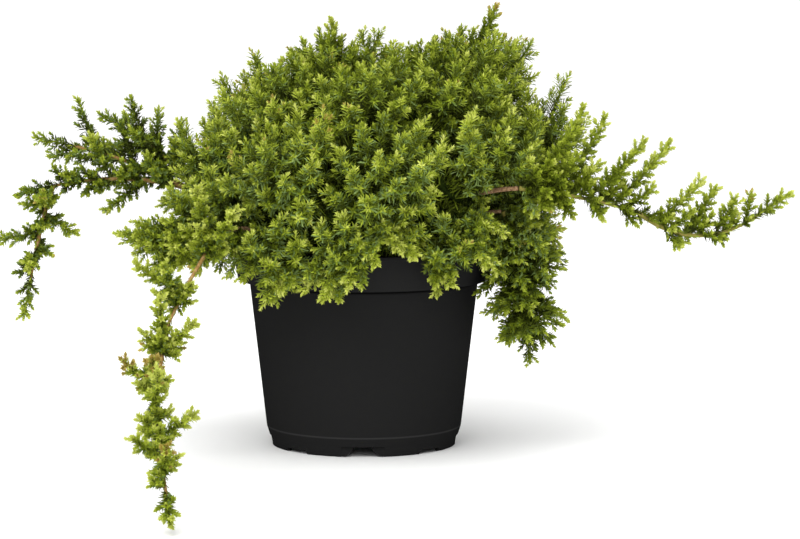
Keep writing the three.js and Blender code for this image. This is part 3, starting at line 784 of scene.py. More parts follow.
# %% [markdown]
# ## Needles
# A needle of this juniper is 5 to 8 mm long and about 1 mm wide, with a keel along its back. Two long
# triangles that meet along the keel give its outline and its fold, and there are far too many needles
# to spend more on each. A grown needle has even sides: one triangle is widest near the root and the
# other near the tip, so that together they keep one width. A young one is short and widest a third of
# the way up. They stand in threes round each shoot, each three turned against the one below, wide open
# at its foot and closed into a bud at its end.

# %% Needle store
GOLDEN = math.radians(137.508)
SPACE_TOLERANCE = 15
NEEDLE_FACES = [[0, 1, 3], [0, 3, 2]]
TINT_STEPS, TANNED_FROM = [0.16, 0.38, 0.62, 0.86], 0.93


def build_needles(name, batches):
    """Joins batches of needles, each a tuple of arrays, into one mesh."""
    roots, directions, backs, lengths, widths, tints = [np.concatenate(part) for part in zip(*batches)]
    sides = np.cross(directions, backs)
    long, wide = lengths[:, None], widths[:, None]
    even = np.clip((long / wide - 3) / 2, 0, 1)
    fold = -backs * wide * 0.25
    corners = np.stack([
        roots,
        roots + directions * long * lerp(0.38, 0.14, even) + sides * wide / 2 + fold,
        roots + directions * long * lerp(0.38, 0.82, even) - sides * wide / 2 + fold,
        roots + directions * long,
    ], axis=1)
    triangles = repeated(NEEDLE_FACES, len(roots))
    return mesh_piece(name, corners.reshape(-1, 3), triangles, needle_materials, np.repeat(tints, 2))


def whorls(batches, random, places, headings, open_angles, lengths, widths, ripeness, coat):
    """Threes of needles along a shoot. ripeness, from 0 to 1, picks each needle's tint."""
    count = len(places)
    headings = np.broadcast_to(headings, (count, 3))
    u, w = frames(headings, headings[0])
    turn = random.random() * TURN
    angles = turn + np.arange(count)[:, None] * TURN / 6 + np.arange(3) * TURN / 3
    angles = (angles + random.normal(0, 0.16, (count, 3)))[..., None]
    out = np.cos(angles) * u[:, None] + np.sin(angles) * w[:, None]
    lean = (np.asarray(open_angles)[:, None] + random.normal(0, 0.1, (count, 3)))[..., None]
    directions = np.cos(lean) * headings[:, None] + np.sin(lean) * out
    backs = np.cos(lean) * out - np.sin(lean) * headings[:, None]
    size = 1 + random.normal(0, 0.1, (count, 3))
    ripe = np.repeat(np.asarray(ripeness)[:, None], 3, axis=1) + random.normal(0, 0.07, (count, 3))
    tints = np.digitize(ripe, TINT_STEPS)
    grown = (tints == TINT["old"]) | (tints == TINT["mid"])
    tints = np.where(grown & (random.random((count, 3)) < coat.waxy), TINT["waxy"], tints)
    tints = np.where((ripe > TANNED_FROM) & coat.tanned, TINT["tan"], tints)
    roots = np.repeat(places[:, None], 3, axis=1)
    sizes = [(np.asarray(measure)[:, None] * size).ravel() for measure in (lengths, widths)]
    batches.append((*[each.reshape(-1, 3) for each in (roots, directions, backs)], *sizes, tints.ravel()))


print("a needle takes", len(NEEDLE_FACES), "triangles and one of", len(needle_materials), "tints")

# %% [markdown]
# ## Sprays
# A spray is a twig with short side shoots all round it, longest near its foot, so that it has the
# outline of a narrow cone. Each side shoot ends in a bright bud. The foot of the twig is bare wood
# with some old dark needles, which is what gives the crown its deep shade between the sprays. Sprays of
# the crown are broad plumes with long open needles. Those of the full masses beside it are lush, those
# over the rim droop, the leading shoots are slim spires, and those of the long runners are knobbly
# brushes, with shorter, wider needles that lie closer to the shoot. Each habit is one row of sizes.

# %% Spray
HABIT_SIZES = ("widest", "slimmest", "side_spacing", "axis_step", "whorl_step", "side_leans", "needles",
               "opens", "widths")
HABITS = {
    "plume": (26, 0.36, 3.7, 1.5, 1.4, (44, 22), (7.3, 4.0), (58, 40), (1.3, 1.4)),
    "lush": (12, 0.45, 2.5, 1.3, 1.3, (52, 30), (6.6, 4.0), (56, 38), (1.5, 1.6)),
    "drooping": (13, 0.4, 2.5, 1.4, 1.25, (48, 28), (5.9, 3.7), (54, 32), (1.5, 1.8)),
    "spire": (10, 0.5, 2.2, 1.0, 1.0, (42, 30), (5.8, 3.6), (54, 36), (1.9, 2.1)),
    "brush": (8.5, 0.6, 2.2, 1.1, 1.0, (54, 38), (5.9, 3.5), (56, 38), (1.8, 2.0)),
}
PLUME, LUSH, DROOPING, SPIRE, BRUSH = [
    SimpleNamespace(**dict(zip(HABIT_SIZES, row))) for row in HABITS.values()
]


class Twig:
    """The curved line of a spray, with points and headings at lengths along it."""

    def __init__(self, start, knee, end):
        self.points = quadratic(start, knee, end, np.linspace(0, 1, 25)[:, None])
        self.headings = unit(np.gradient(self.points, axis=0))
        steps = np.linalg.norm(np.diff(self.points, axis=0), axis=1)
        self.lengths = np.concatenate([[0], np.cumsum(steps)])
        self.length = float(self.lengths[-1])

    def read(self, table, lengths):
        return np.stack([np.interp(lengths, self.lengths, table[:, k]) for k in range(3)], axis=-1)

    def at(self, lengths):
        return self.read(self.points, lengths)

    def heading(self, lengths):
        return unit(self.read(self.headings, lengths))


def side_shoot(stores, random, root, heading, length, vigour, coat, habit):
    """A short shoot, clothed from its foot to a closed bud. Its needles shorten towards the end."""
    count = max(3, int(length / habit.whorl_step))
    t = np.linspace(0.12, 1, count)
    places = root + heading * (length * t)[:, None]
    size = min(1, 0.74 + length / 40)
    near_end = np.clip(1 - length * (1 - t) / 7, 0, 1)
    whorls(
        stores.needles, random, places, heading, np.radians(lerp(*habit.opens, near_end)),
        lerp(*habit.needles, near_end**1.5) * size, lerp(*habit.widths, near_end),
        vigour + 0.2 * t + 0.3 * near_end, coat,
    )
    bud = root + heading * (length + np.array([0.6, 1.3]))[:, None]
    whorls(
        stores.needles, random, bud, heading, np.radians([24, 9]), habit.needles[1] * np.array([0.86, 0.7]),
        np.full(2, habit.widths[1]), vigour + np.array([0.53, 0.6]), coat,
    )
    stores.twigs.append((root, root + heading * length))


def grow_spray(stores, mass, twig, clothed, habit, random, tone, fullness=0.42):
    """One spray of a mass. Its side shoots are left out where they would leave the mass's space."""
    whole = twig.length
    live = max(2.0, whole - clothed)
    reach = min(habit.widest, max(6.0, clothed * fullness))
    coat = coat_at(twig.at(whole), random)
    tone = tone + random.normal(0.0, 0.07)
    along = np.arange(live, whole - 2.5, habit.side_spacing)
    t = (along - live) / (whole - live)
    aims = twig.heading(along)
    u, w = frames(aims, twig.heading(whole))
    angles = (random.random() * TURN + np.arange(len(along)) * GOLDEN)[:, None]
    lean = (np.radians(lerp(*habit.side_leans, t)) + random.normal(0, 0.08, len(along)))[:, None]
    headings = np.cos(lean) * aims + np.sin(lean) * (np.cos(angles) * u + np.sin(angles) * w)
    cone = np.minimum(1, 0.72 + 1.6 * t) * lerp(1.0, habit.slimmest, t**1.4)
    lengths = 0.88 * reach * cone * random.uniform(0.8, 1.12, len(along))
    roots = twig.at(along)
    free = is_free(mass, roots + headings * (lengths + 2.5)[:, None], SPACE_TOLERANCE)
    for k in np.nonzero(free)[0]:
        vigour = 0.55 * t[k] ** 1.3 - 0.03 + tone
        side_shoot(stores, random, roots[k], headings[k], lengths[k], vigour, coat, habit)
    places = np.arange(max(1.0, live - 12), whole, habit.axis_step)
    t = np.clip((places - live) / (whole - live), 0, 1)
    ripeness = np.where(places < live, 0.05, 0.2 + 0.55 * t) + tone
    whorls(
        stores.needles, random, twig.at(places), twig.heading(places), np.radians(lerp(*habit.opens, t)),
        lerp(*habit.needles, t), lerp(*habit.widths, t), ripeness, coat,
    )
    tip = twig.at(whole) + twig.heading(whole) * np.array([[0.0], [1.2]])
    whorls(
        stores.needles, random, tip, twig.heading(whole), np.radians([26, 9]),
        habit.needles[1] * np.array([0.9, 0.75]), np.full(2, habit.widths[1]),
        np.array([0.85, 0.95]) + tone, coat,
    )
    steps = np.linspace(0, whole, 7)
    stores.axes.append(tube(twig.at(steps), lerp(0.95, 0.45, steps / whole), 4))


print("habits:", ", ".join(HABITS))

# %% [markdown]
# The tints have their places. Sprays high in the crown and at the ends of the runners get the most sun
# and some of their buds are tanned. Those half way up the front stand open and show the pale bands on
# the inner faces of their needles.

# %% Coats
def coat_at(point, random):
    """How likely a pale band is on each needle of a spray, and whether its buds are tanned."""
    band = np.interp(point[2], [105, 150, 215, 260], [0.1, 0.42, 0.38, 0.12])
    sunned = np.interp(point[2], [150, 240, 290], [0.05, 0.14, 0.45])
    far_out = np.hypot(point[0], point[1]) > 150
    waxy = 0.25 * (point[0] < 0) if far_out else float(band)
    return SimpleNamespace(waxy=waxy, tanned=bool(random.random() < max(sunned, 0.12 * far_out)))


half_way_up = coat_at(np.array([0, -100, 180]), np.random.default_rng(0))
print("share of pale bands half way up the front:", round(half_way_up.waxy, 2))

# %% [markdown]
# ## Where sprays stand
# A creeping plant's twigs turn up to the light, so each leaves its stem sideways and bends until its
# end points up and a little outwards, and the sprays overlap like shingles. The lowest ones have no
# light above them and droop over the pot's rim in a fringe, which hangs down further in a few places.

# %% Fringe and light
CROWN_CELL, CLOTHED = 64, 62
FRINGE = SimpleNamespace(
    height=150, lobe_width=8,
    lobes=[(-80, 4), (-62, 22), (-46, -12), (-31, 50), (-18, 28), (-6, 29), (28, 36), (45, -10), (66, 8),
           (90, 22), (115, 28), (150, 22), (185, 32), (220, 22), (255, 30)],
)


def fringe_foot(point):
    """The lowest height that the fringe reaches at the azimuth of a point."""
    azimuth = math.degrees(math.atan2(point[0], -point[1]))
    lowest = FRINGE.height
    for centre, depth in FRINGE.lobes:
        apart = (azimuth - centre + 180) % 360 - 180
        lowest -= depth * math.exp(-((apart / FRINGE.lobe_width) ** 2))
    return lowest


def turned_to_light(point):
    """The direction of a spray's end whose tip is at the given point of the crown."""
    outwards = unit(point - CROWN.middle)
    height = np.interp(point[2] - fringe_foot(point), [0, 16, 34, 70], [-1.3, -0.2, 1.0, 1.7])
    return unit(outwards * [1, 1, 0.6] + UP * height)


def crown_twig(mass, tip):
    """The line of a crown spray: it leaves its mass's stem sideways and turns up to the light."""
    apart = min(1, np.linalg.norm(tip - mass.tip) / CROWN_CELL)
    root = mass.curve.point(lerp(0.97, 0.5, apart))
    end = unit(turned_to_light(tip) + 0.5 * (tip - mass.tip) / CROWN_CELL)
    return Twig(root, tip - end * min(CLOTHED, 0.75 * np.linalg.norm(tip - root)), tip)


fringe_feet = [fringe_foot(around(azimuth, POT.rim_radius, 0)) for azimuth in range(0, 360, 5)]
print("the fringe ends from", round(min(fringe_feet)), "to", round(max(fringe_feet)), "mm above the floor")

# %% [markdown]
# The tips of the crown's sprays are spread evenly over its outline by the golden angle, with a second
# layer of shorter, darker sprays behind them, and each spray grows from the mass whose space its tip
# lies in. The sprays of the fringe and the leading shoots at the top are series of their own.

# %% Tips of the crown's sprays
OUTER_SPRAYS, INNER_SPRAYS, FRINGE_SPRAYS = 375, 350, 90
LOWEST_RAY, VALLEY_CELL, VALLEY_SHARE, LEADING_SHARE = -0.42, 52, 0.875, 0.085
# The leading shoots of the crown: middle and height of each group, how steeply it falls off, how many
PEAKS = {
    "top_left": ((-25, -4, 301), 0.8, 12),
    "top_right": ((76, 0, 300), 0.45, 22),
    "top_back": ((22, 48, 274), 0.6, 6),
}


def mass_at(point):
    """The mass whose space a point lies in."""
    return masses[int(np.argmin(distances(point[None])[0]))]


def crown_tips(count, deeper, seed):
    """Tips spread evenly over the crown, each with the mass whose space it lies in."""
    random = np.random.default_rng(seed)
    for i in range(count):
        height = lerp(LOWEST_RAY, 1.0, (i + 0.5) / count)
        turn = i * GOLDEN + seed
        level = math.sqrt(1 - height**2)
        ray = np.array([level * math.cos(turn), level * math.sin(turn), height])
        surface = moved_to(CROWN.middle + 100 * ray, 1.0)
        mass = mass_at(surface)
        if not mass.crown:
            continue
        aside = min(1, np.linalg.norm(surface - moved_to(mass.tip, 1.0)) / VALLEY_CELL)
        leading = LEADING_SHARE if i % 6 == 0 and height > 0.1 else 0
        share = lerp(1.0, VALLEY_SHARE, aside**1.6) - deeper + random.uniform(-0.03, 0.02) + leading
        tip = moved_to(surface, share)
        if tip[2] < fringe_foot(tip) - 16:
            continue
        tip[2] = max(tip[2], fringe_foot(tip))
        if is_free(mass, tip[None])[0]:
            yield mass, tip


def fringe_tips(count, seed):
    """Tips of the sprays that hang over the pot's rim."""
    random = np.random.default_rng(seed)
    for i in range(count):
        ray = around(math.degrees(i * GOLDEN), random.uniform(108, 124), 0)
        tip = ray + UP * (fringe_foot(ray) + random.uniform(0, 26))
        mass = mass_at(tip)
        if mass.crown and is_free(mass, tip[None])[0]:
            yield mass, tip


def peak_tips():
    """Tips of the groups of leading shoots that stand out of the top of the crown."""
    for name, (middle, fall, count) in PEAKS.items():
        mass = next(mass for mass in masses if mass.name == name)
        for k in range(1, count + 1):
            away = 9.0 * math.sqrt(k)
            angle = k * GOLDEN
            tip = np.array(middle) + away * np.array([math.cos(angle), math.sin(angle), -fall])
            if crown_share(tip) > 0.97:
                yield mass, tip


def by_mass(*several):
    """The tips of several series, sorted out by the name of their mass."""
    found = {mass.name: [] for mass in masses}
    for tips in several:
        for mass, tip in tips:
            found[mass.name].append(tip)
    return found


outer_tips = by_mass(
    crown_tips(OUTER_SPRAYS, deeper=0.0, seed=11), fringe_tips(FRINGE_SPRAYS, seed=5), peak_tips()
)
inner_tips = by_mass(crown_tips(INNER_SPRAYS, deeper=0.12, seed=23))
for layer, tips in (("outer", outer_tips), ("inner", inner_tips)):
    print(layer, "crown sprays:", sum(map(len, tips.values())))

# %% [markdown]
# On a runner the sprays stand along the stem, mostly on its upper side. On the trailing one they stand
# in clumps with bare stem between them.

# %% Twigs of a runner
CLUMPED = ("trail_upper", "trail_middle")
BARE_RUNNER_TIP = 6


def ring_at(curve, share, angle):
    """A point of a limb, its heading there, and the direction square to it at an angle."""
    root, along = curve.point(share), curve.tangent(share)
    u, w = across(along)
    return root, along, u * math.cos(angle) + w * math.sin(angle)


def straight_twig(root, heading, length, rise=0.0):
    """A twig that sets off straight and ends a little higher than its heading."""
    return Twig(root, root + heading * length / 2, root + heading * length + UP * rise)


def runner_twig(mass, i, vigour, all_round=False):
    """The line of spray i of a runner, and how much of its end is clothed. Spray 0 ends the runner."""
    if i == 0:
        heading, length = unit(mass.curve.tangent(1)), TIP_SHOOT * TIP_SHARE + 4
        return straight_twig(mass.curve.point(1) - heading * 4, heading, length), length - BARE_RUNNER_TIP
    share = 0.08 + 0.88 * (i - 0.5) / mass.shoots
    if mass.name in CLUMPED:
        clumps = math.ceil(mass.shoots / 4)
        share = (math.floor(share * clumps) + 0.45 + 0.3 * ((share * clumps) % 1)) / clumps
    root, along, out = ring_at(mass.curve, share, i * GOLDEN + mass.order)
    if mass.side is not None and not all_round:
        out = unit(mass.side - along * (mass.side @ along))
        turn = math.radians(mass.swing) * (int(i) % 3 - 1)
        out = out * math.cos(turn) + np.cross(along, out) * math.sin(turn)
    lean = math.radians(lerp(58, 24 if mass.core > THIN_CORE else 44, share**2))
    heading = unit(along * math.cos(lean) + out * math.sin(lean) + UP * mass.lift)
    length = mass.length * lerp(1.1, mass.last, share) * vigour
    clothed = length - 2.5 - mass.core * 0.3
    return straight_twig(root, heading, length, 0.14 * clothed), clothed


sprays_of = {mass.name: mass.shoots for mass in masses}
print("clumps on a part of the trailing runner:", math.ceil(sprays_of["trail_upper"] / 4))

# %% [markdown]
# ## Growing the foliage
# A mass of the crown grows its own longest spray, then those whose tips lie in its space. Every spray
# has a random series of its own, so that a change to one leaves the others as they are. The sprays of
# the second layer are clothed along a shorter part of their twigs.

# %% Sprays of the crown
INNER_CLOTHED, DROOPS_BELOW = 38, 14
# Each kind of spray has its own run of seeds in its mass
SEEDS = SimpleNamespace(filler=500, inner=600, bough=800, foot=900)


def seeded(mass, number):
    return np.random.default_rng(mass.order * 1000 + number)


def high_tone(tip):
    """The highest sprays are the darkest, as the youngest growth is lower down at the front."""
    return float(np.interp(tip[2], [225, 265], [0, -0.1]))


def grow_crown_mass(stores, mass):
    """The mass's own longest spray, then those whose tips lie in its space."""
    def grow(tip, random, habit, tone, most=CLOTHED):
        twig = crown_twig(mass, tip)
        grow_spray(stores, mass, twig, min(most, twig.length - 4), habit, random, tone)

    longest = (SPIRE, 0.15) if mass.name in PEAKS else (PLUME, 0)
    grow(mass.tip, np.random.default_rng(mass.order), *longest)
    for i, tip in enumerate(outer_tips[mass.name]):
        drooping = tip[2] - fringe_foot(tip) < DROOPS_BELOW
        grow(tip, seeded(mass, i), *((DROOPING, 0.1) if drooping else (PLUME, high_tone(tip))))
    for i, tip in enumerate(inner_tips[mass.name]):
        # The second layer's darker tone is partly older needles and partly painted shade.
        grow(tip, seeded(mass, SEEDS.inner + i), PLUME, -0.2, INNER_CLOTHED)


tips_in_masses = [len(outer_tips[mass.name]) + len(inner_tips[mass.name]) for mass in masses if mass.crown]
print("sprays in a mass of the crown:", min(tips_in_masses), "to", max(tips_in_masses))

# %% [markdown]
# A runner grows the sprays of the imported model, on the long ones a strong and a weak one by turns, and
# weaker ones between them. Sprays also stand on the outer half of its bough, unless the bough's bark
# is to show, and short ones hide the foot of a stem that leaves a bough that shows. The stem itself
# carries short needles pressed close to it.

# %% Sprays of the runners
LONG_RUNNERS = (
    "right_runner", "right_runner_tip", "left_arch", "left_arch_tip",
    "trail_upper", "trail_middle", "trail_tip",
)
LIGHTNESS = {
    "right_runner": 0.08, "right_runner_tip": 0.16, "trail_upper": 0.2, "trail_middle": 0.26,
    "trail_tip": 0.26, "hanging_right": -0.16, "left_high": -0.14, "left_far": -0.14, "left_arch": -0.12,
    "left_arch_tip": -0.02, "low_left": 0.0,
}
BOUGH_SPRAYS, FOOT_SPRAYS = 12, 14
STEM_NEEDLES = SimpleNamespace(spacing=2.4, opens=27, length=6.4, width=1.5)


def grow_runner(stores, mass):
    """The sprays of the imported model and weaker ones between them."""
    full = mass.core > THIN_CORE
    habit = BRUSH if mass.name in LONG_RUNNERS else LUSH
    fullness = 0.55 if full else 0.36
    tone = LIGHTNESS[mass.name]
    for i in range(mass.shoots + 1):
        chance = series((mass.order + 1) * 7919 + i * 104729)
        next(chance)
        vigour = 0.9 + 0.2 * next(chance)
        if mass.name in LONG_RUNNERS and i > 0:
            vigour *= 1.08 if i % 2 else 0.55
        grow_spray(stores, mass, *runner_twig(mass, i, vigour), habit, seeded(mass, i), tone, fullness)
    fillers = mass.shoots * (4 if full else 2)
    weak = (0.45, 0.85) if full else (0.25, 0.42)
    for i in range(fillers):
        random = seeded(mass, SEEDS.filler + i)
        place = 1 + (i + 0.5) * (mass.shoots - (0.5 if full else 1)) / fillers
        vigour = random.uniform(*weak) * (lerp(1, 1.3, place / mass.shoots) if full else 1)
        twig, clothed = runner_twig(mass, place, vigour, all_round=True)
        grow_spray(stores, mass, twig, clothed, habit, random, tone - 0.04, fullness)


def grow_on_bough(stores, mass, bough):
    """Sprays on the outer half of the bough that carries a runner."""
    for i in range(BOUGH_SPRAYS):
        random = seeded(mass, SEEDS.bough + i)
        share = lerp(0.4, 1.0, (i + 0.5) / BOUGH_SPRAYS)
        root, along, out = ring_at(bough.curve, share, i * GOLDEN)
        heading = unit(unit(out + UP * 0.5) + 0.7 * along)
        length = random.uniform(24, 36)
        twig = straight_twig(root, heading, length, 4)
        grow_spray(stores, mass, twig, length - 5, LUSH, random, -0.08, 0.45)


def hide_foot(stores, mass):
    """Short sprays all round the foot of a runner's stem, where it leaves a bough that shows."""
    for i in range(FOOT_SPRAYS):
        random = seeded(mass, SEEDS.foot + i)
        share = 0.01 + 0.33 * (i / FOOT_SPRAYS) ** 1.4
        root, along, out = ring_at(mass.curve, share, i * GOLDEN)
        heading = unit(out + 0.6 * along + 0.2 * UP)
        length = random.uniform(15, 24)
        twig = straight_twig(root, heading, length)
        grow_spray(stores, mass, twig, length - 3, BRUSH, random, 0.0, 0.5)


def clothe_stem(stores, mass):
    """Short needles pressed to the stem of a runner, thinning out towards its foot."""
    random = np.random.default_rng(mass.order + 77)
    count = int(mass.length_along / STEM_NEEDLES.spacing)
    t = np.linspace(0.1, 1, count)
    plain = SimpleNamespace(tanned=False, waxy=0)
    for share in t[random.random(count) < 0.35 + 0.6 * t]:
        whorls(
            stores.needles, random, mass.curve.point(share)[None], mass.curve.tangent(share),
            np.radians([STEM_NEEDLES.opens]), [STEM_NEEDLES.length], [STEM_NEEDLES.width],
            [0.34 + 0.3 * share], plain,
        )


print("runners:", ", ".join(LIGHTNESS))

# %% [markdown]
# The masses are grouped by their place, and each group becomes three pieces: its needles, its twigs
# and its stems. The stems of the runners show, tan on the left and trailing ones and greener on the
# right one.

# %% Grow and join each group
def numbered(name, first, last):
    return [f"{name}_{i}" for i in range(first, last + 1)]


GROUPS = {
    "skirt_front": numbered("skirt", 1, 5),
    "skirt_back": numbered("skirt", 6, 9),
    "shoulder_front": numbered("shoulder", 1, 5),
    "shoulder_back": numbered("shoulder", 6, 9),
    "upper_front": [*numbered("upper", 1, 4), "top_left"],
    "upper_back": [*numbered("upper", 5, 7), "top_right", "top_back"],
    "left_runners": ["left_high", "left_far", "left_arch", "left_arch_tip", "low_left"],
    "trail": ["trail_upper", "trail_middle", "trail_tip"],
    "right_runners": ["right_runner", "right_runner_tip", "hanging_right"],
}
BARE_BOUGH = "bough_right"
FEET_TO_HIDE = (BARE_BOUGH, "bough_hanging")
STEM_WOOD = {"trail": tan_stem, "left_runners": tan_stem, "right_runners": green_stem}
TWIG_RADIUS = 0.42


def twig_cones(twigs):
    """Slim three-sided cones from the root to the tip of each side shoot."""
    roots, tips = np.swapaxes(np.array(twigs), 0, 1)
    along = unit(tips - roots)
    helper = np.where(np.abs(along[:, 2:]) > 0.9, [[1.0, 0, 0]], [[0, 0, 1.0]])
    u = unit(np.cross(helper, along))
    w = np.cross(along, u)
    angles = np.arange(3) * TURN / 3
    base = [roots + TWIG_RADIUS * (math.cos(a) * u + math.sin(a) * w) for a in angles]
    points = np.stack([*base, tips], axis=1).reshape(-1, 3)
    return points, repeated([[0, 1, 3], [1, 2, 3], [2, 0, 3]], len(roots))


def stem_tube(mass):
    t = np.linspace(0, 1, 26)
    return tube(mass.curve.point(t), lerp(1.7, 0.95, t) * (1 + 0.06 * np.sin(t * mass.length_along / 2.1)), 8)


def grow_group(name, members):
    stores = SimpleNamespace(needles=[], twigs=[], axes=[])
    group = [mass for mass in masses if mass.name in members]
    for mass in group:
        if mass.crown:
            grow_crown_mass(stores, mass)
            continue
        grow_runner(stores, mass)
        clothe_stem(stores, mass)
        if mass.bough in FEET_TO_HIDE:
            hide_foot(stores, mass)
        for bough in boughs:
            if bough.name == mass.bough and bough.name != BARE_BOUGH:
                grow_on_bough(stores, mass, bough)
    needles = build_needles(f"{name}_needles", stores.needles)
    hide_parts(*members)
    twigs = mesh_piece(f"{name}_twigs", *joined([twig_cones(stores.twigs), *stores.axes]), [green_twig])
    wood = STEM_WOOD.get(name, green_twig)
    stems = joined([stem_tube(mass) for mass in group])
    stem_piece = mesh_piece(f"{name}_stems", *stems, [wood], smooth=True)


for name, members in GROUPS.items():
    grow_group(name, members)

# %% [markdown]
# ## Shade in the crown
# Behind the sprays lies a thicket of old twigs with dark needles that little light reaches. Every full
# mass has one rough body in its middle for it, coloured almost black green as painted shade. It swells
# from the stem as far as the mass's space goes, ends well inside the sprays, and is covered with wide
# old needles that point out and up.

# %% Dense middles
OLD_NEEDLES_PER_SQUARE_CM = 15
OLD_LENGTHS, OLD_WIDTHS, SHADED_SHARE = (8, 12), (1.2, 1.7), 0.55
# The thicket's near-black tones are painted shade.
PAINTED_THICKET_SHADE = [(0.35, "#151c08"), (0.6, "#263210"), (0.8, "#3a3a1a")]
MIDDLE_SIDES, MIDDLE_ROWS = 16, 9


def dense_middle(mass):
    """The rough body in the middle of a full mass, as rings along its stem."""
    centres, radii = [], []
    thickness, last = (0.82, 1.12) if mass.crown else (0.5, 0.88)
    for share in np.linspace(0.16, last, MIDDLE_ROWS):
        t = min(share, 1)
        centre = mass.curve.point(t) + mass.curve.tangent(t) * max(0, share - 1) * mass.length_along
        if mass.crown and crown_share(centre) > CORE_SHARE - 0.06:
            break
        swell = min(1.0, (share - 0.1) * 3) * min(1, (last + 0.06 - share) * 5)
        ring = []
        for j in range(MIDDLE_SIDES):
            out = ring_at(mass.curve, t, j * TURN / MIDDLE_SIDES)[2]
            reach = core_reach(mass, centre, out, mass.core) * thickness
            rough = 1 + 0.16 * noise.noise(Vector((centre + out * reach) * 0.09))
            ring.append(max(1.5, reach * swell * rough))
        centres.append(centre)
        radii.append(np.array(ring))
    return tube(np.array(centres), radii, MIDDLE_SIDES)


def cover_with_old_needles(points, triangles):
    """Wide old needles all over a dense middle, more where its faces are larger."""
    random = np.random.default_rng(4242)
    a, b, c = points[triangles[:, 0]], points[triangles[:, 1]], points[triangles[:, 2]]
    normals = np.cross(b - a, c - a)
    areas = np.linalg.norm(normals, axis=1) / 2
    normals = normals / np.maximum(2 * areas, 1e-9)[:, None]
    count = int(areas.sum() / 100 * OLD_NEEDLES_PER_SQUARE_CM)
    chosen = random.choice(len(areas), count, p=areas / areas.sum())
    s, t = random.random((2, count, 1))
    s, t = np.where(s + t > 1, 1 - s, s), np.where(s + t > 1, 1 - t, t)
    roots = a[chosen] + s * (b - a)[chosen] + t * (c - a)[chosen]
    directions = unit(normals[chosen] + UP * 0.55 + random.normal(0, 0.45, (count, 3)))
    backs = unit(np.cross(directions, random.normal(0, 1, (count, 3))))
    tints = np.where(random.random(count) < SHADED_SHARE, TINT["shade"], TINT["old"])
    lengths, widths = random.uniform(*OLD_LENGTHS, count), random.uniform(*OLD_WIDTHS, count)
    return roots, directions, backs, lengths, widths, tints


middles = joined([dense_middle(mass) for mass in masses if mass.core > THIN_CORE])
settings = {"Roughness": 1.0, "Specular IOR Level": 0.0}
thicket = mottled("shaded_thicket", PAINTED_THICKET_SHADE, 4.0, settings, 6.0, 0.7, 1.0, 2)
middle_piece = mesh_piece("dense_middles", *middles, [thicket], smooth=True)
old_needles = build_needles("old_needles", [cover_with_old_needles(*middles)])

# %% [markdown]
# ## Trunk and boughs
# The trunk is one tapering body with five buttress roots at the compost. Its bark is relief in the mesh:
# ridges that run lengthwise and break into flakes. The boughs are the same on a smaller scale.

# %% Wood
BUTTRESSES, TRUNK_SIDES, TRUNK_ROWS = 5, 40, 60
BOUGH_SIDES, BOUGH_ROWS, BOUGH_SLIMMING, BOUGH_LENGTH = 12, 36, 0.66, 90


def bark_ring(radius, height, sides, flare=0.0):
    """The radii round a limb: flaking ridges, stretched along it, and buttresses if it flares."""
    ring = []
    for j in range(sides):
        turn = j * TURN / sides
        place = Vector((math.cos(turn) * radius * 0.9, math.sin(turn) * radius * 0.9, height * 0.11))
        ridge = noise.noise(place) + 0.5 * noise.noise(place * 2.3)
        swell = flare * (0.35 + 0.65 * max(0, math.cos(turn * BUTTRESSES)) ** 1.5)
        ring.append((radius + swell) * (1 + 0.13 * ridge))
    return np.array(ring)


def make_trunk():
    rings = []
    for share in np.linspace(0, 1, TRUNK_ROWS):
        flare = TRUNK.flare * (1 - share) ** 5
        radius = lerp(TRUNK.foot_radius, TRUNK.top_radius, share)
        rings.append(bark_ring(radius, share * TRUNK.height, TRUNK_SIDES, flare))
    centres = np.array([trunk_point(share) for share in np.linspace(0, 1, TRUNK_ROWS)])
    trunk = mesh_piece("trunk_bark", *tube(centres, rings, TRUNK_SIDES), [juniper_bark], smooth=True)
    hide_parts("trunk")


def bough_bark(bough):
    t = np.linspace(0, 1, BOUGH_ROWS)
    radii = lerp(*bough.radii, t) * lerp(1, BOUGH_SLIMMING, t)
    rings = [bark_ring(radius, share * BOUGH_LENGTH, BOUGH_SIDES) for radius, share in zip(radii, t)]
    return tube(bough.curve.point(t), rings, BOUGH_SIDES)


make_trunk()
limbs = joined([bough_bark(bough) for bough in boughs])
bark = mesh_piece("boughs_bark", *limbs, [juniper_bark], smooth=True)
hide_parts(*[bough.name for bough in boughs])

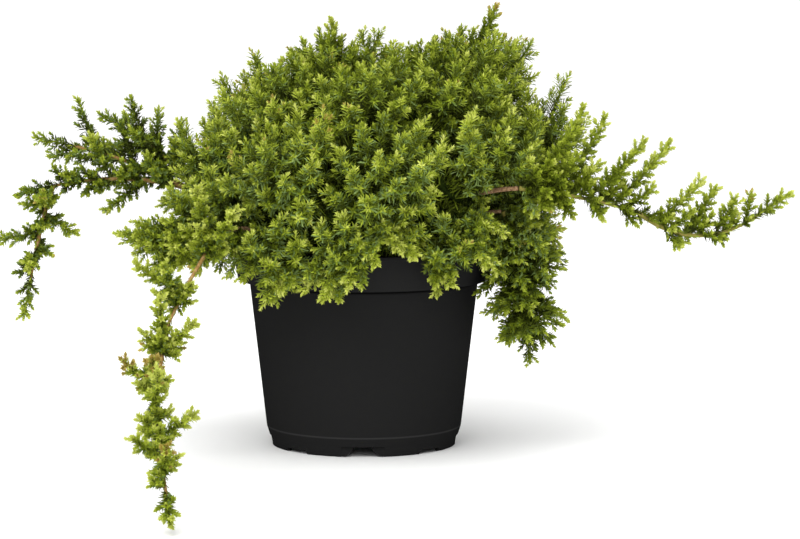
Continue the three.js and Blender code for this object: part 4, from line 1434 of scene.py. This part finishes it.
# %% [markdown]
# ## Floor and light
# The photograph has a plain white ground and soft light from all sides, a little stronger from the
# upper left. A wide pale floor, two large lamps, and a sky that is brightest overhead and darker at both
# sides give the same, and leave the pot's edges dark.

# %% Stage
HALF_FLOOR = 30.0
floor_material, floor_tree = new_material("pale_floor")
surface(floor_tree, {"Base Color": linear("#f4f4f4"), "Roughness": 0.9, "Specular IOR Level": 0.1}, {})
floor_mesh = bpy.data.meshes.new("floor")
corners = [(x * HALF_FLOOR, y * HALF_FLOOR, 0) for x, y in ((-1, -1), (1, -1), (1, 1), (-1, 1))]
floor_mesh.from_pydata(corners, [], [(0, 1, 2, 3)])
floor_mesh.materials.append(floor_material)
floor = new_object("floor", floor_mesh)

world = bpy.data.worlds.new("studio")
bpy.context.scene.world = world
world.use_nodes = True
sky_tree = world.node_tree
sky_tree.nodes.clear()


def product(a, b):
    node = add_node(sky_tree, "ShaderNodeMath", {"operation": "MULTIPLY"}, {0: a, 1: b})
    return node.outputs["Value"]


direction = add_node(sky_tree, "ShaderNodeTexCoord").outputs["Generated"]
parts = add_node(sky_tree, "ShaderNodeSeparateXYZ", links={"Vector": direction}).outputs
by_height = mapped(sky_tree, parts["Z"], {"To Min": 0.5, "To Max": 2.05})
by_side = mapped(sky_tree, product(parts["X"], parts["X"]), {"To Min": 1.0, "To Max": 0.15})
sky_links = {"Strength": product(by_height, by_side)}
sky = add_node(sky_tree, "ShaderNodeBackground", {"Color": (1, 1, 1, 1)}, sky_links)
add_node(sky_tree, "ShaderNodeOutputWorld", links={"Surface": sky.outputs["Background"]})


def soft_lamp(name, place, aim, size, power):
    lamp = bpy.data.lights.new(name, "AREA")
    lamp.size = size
    lamp.energy = power
    holder = new_object(name, lamp)
    holder.location = place
    holder.rotation_euler = (Vector(aim) - Vector(place)).to_track_quat("-Z", "Y").to_euler()


PLANT_MIDDLE = (0, 0, 0.15)
soft_lamp("key", (-0.9, -1.6, 2.4), PLANT_MIDDLE, size=2.0, power=52)
soft_lamp("front", (0.2, -2.9, 1.1), PLANT_MIDDLE, size=1.8, power=18)
bpy.context.scene.view_settings.view_transform = "Standard"
print("lamps:", len(bpy.data.lights), "and a sky")
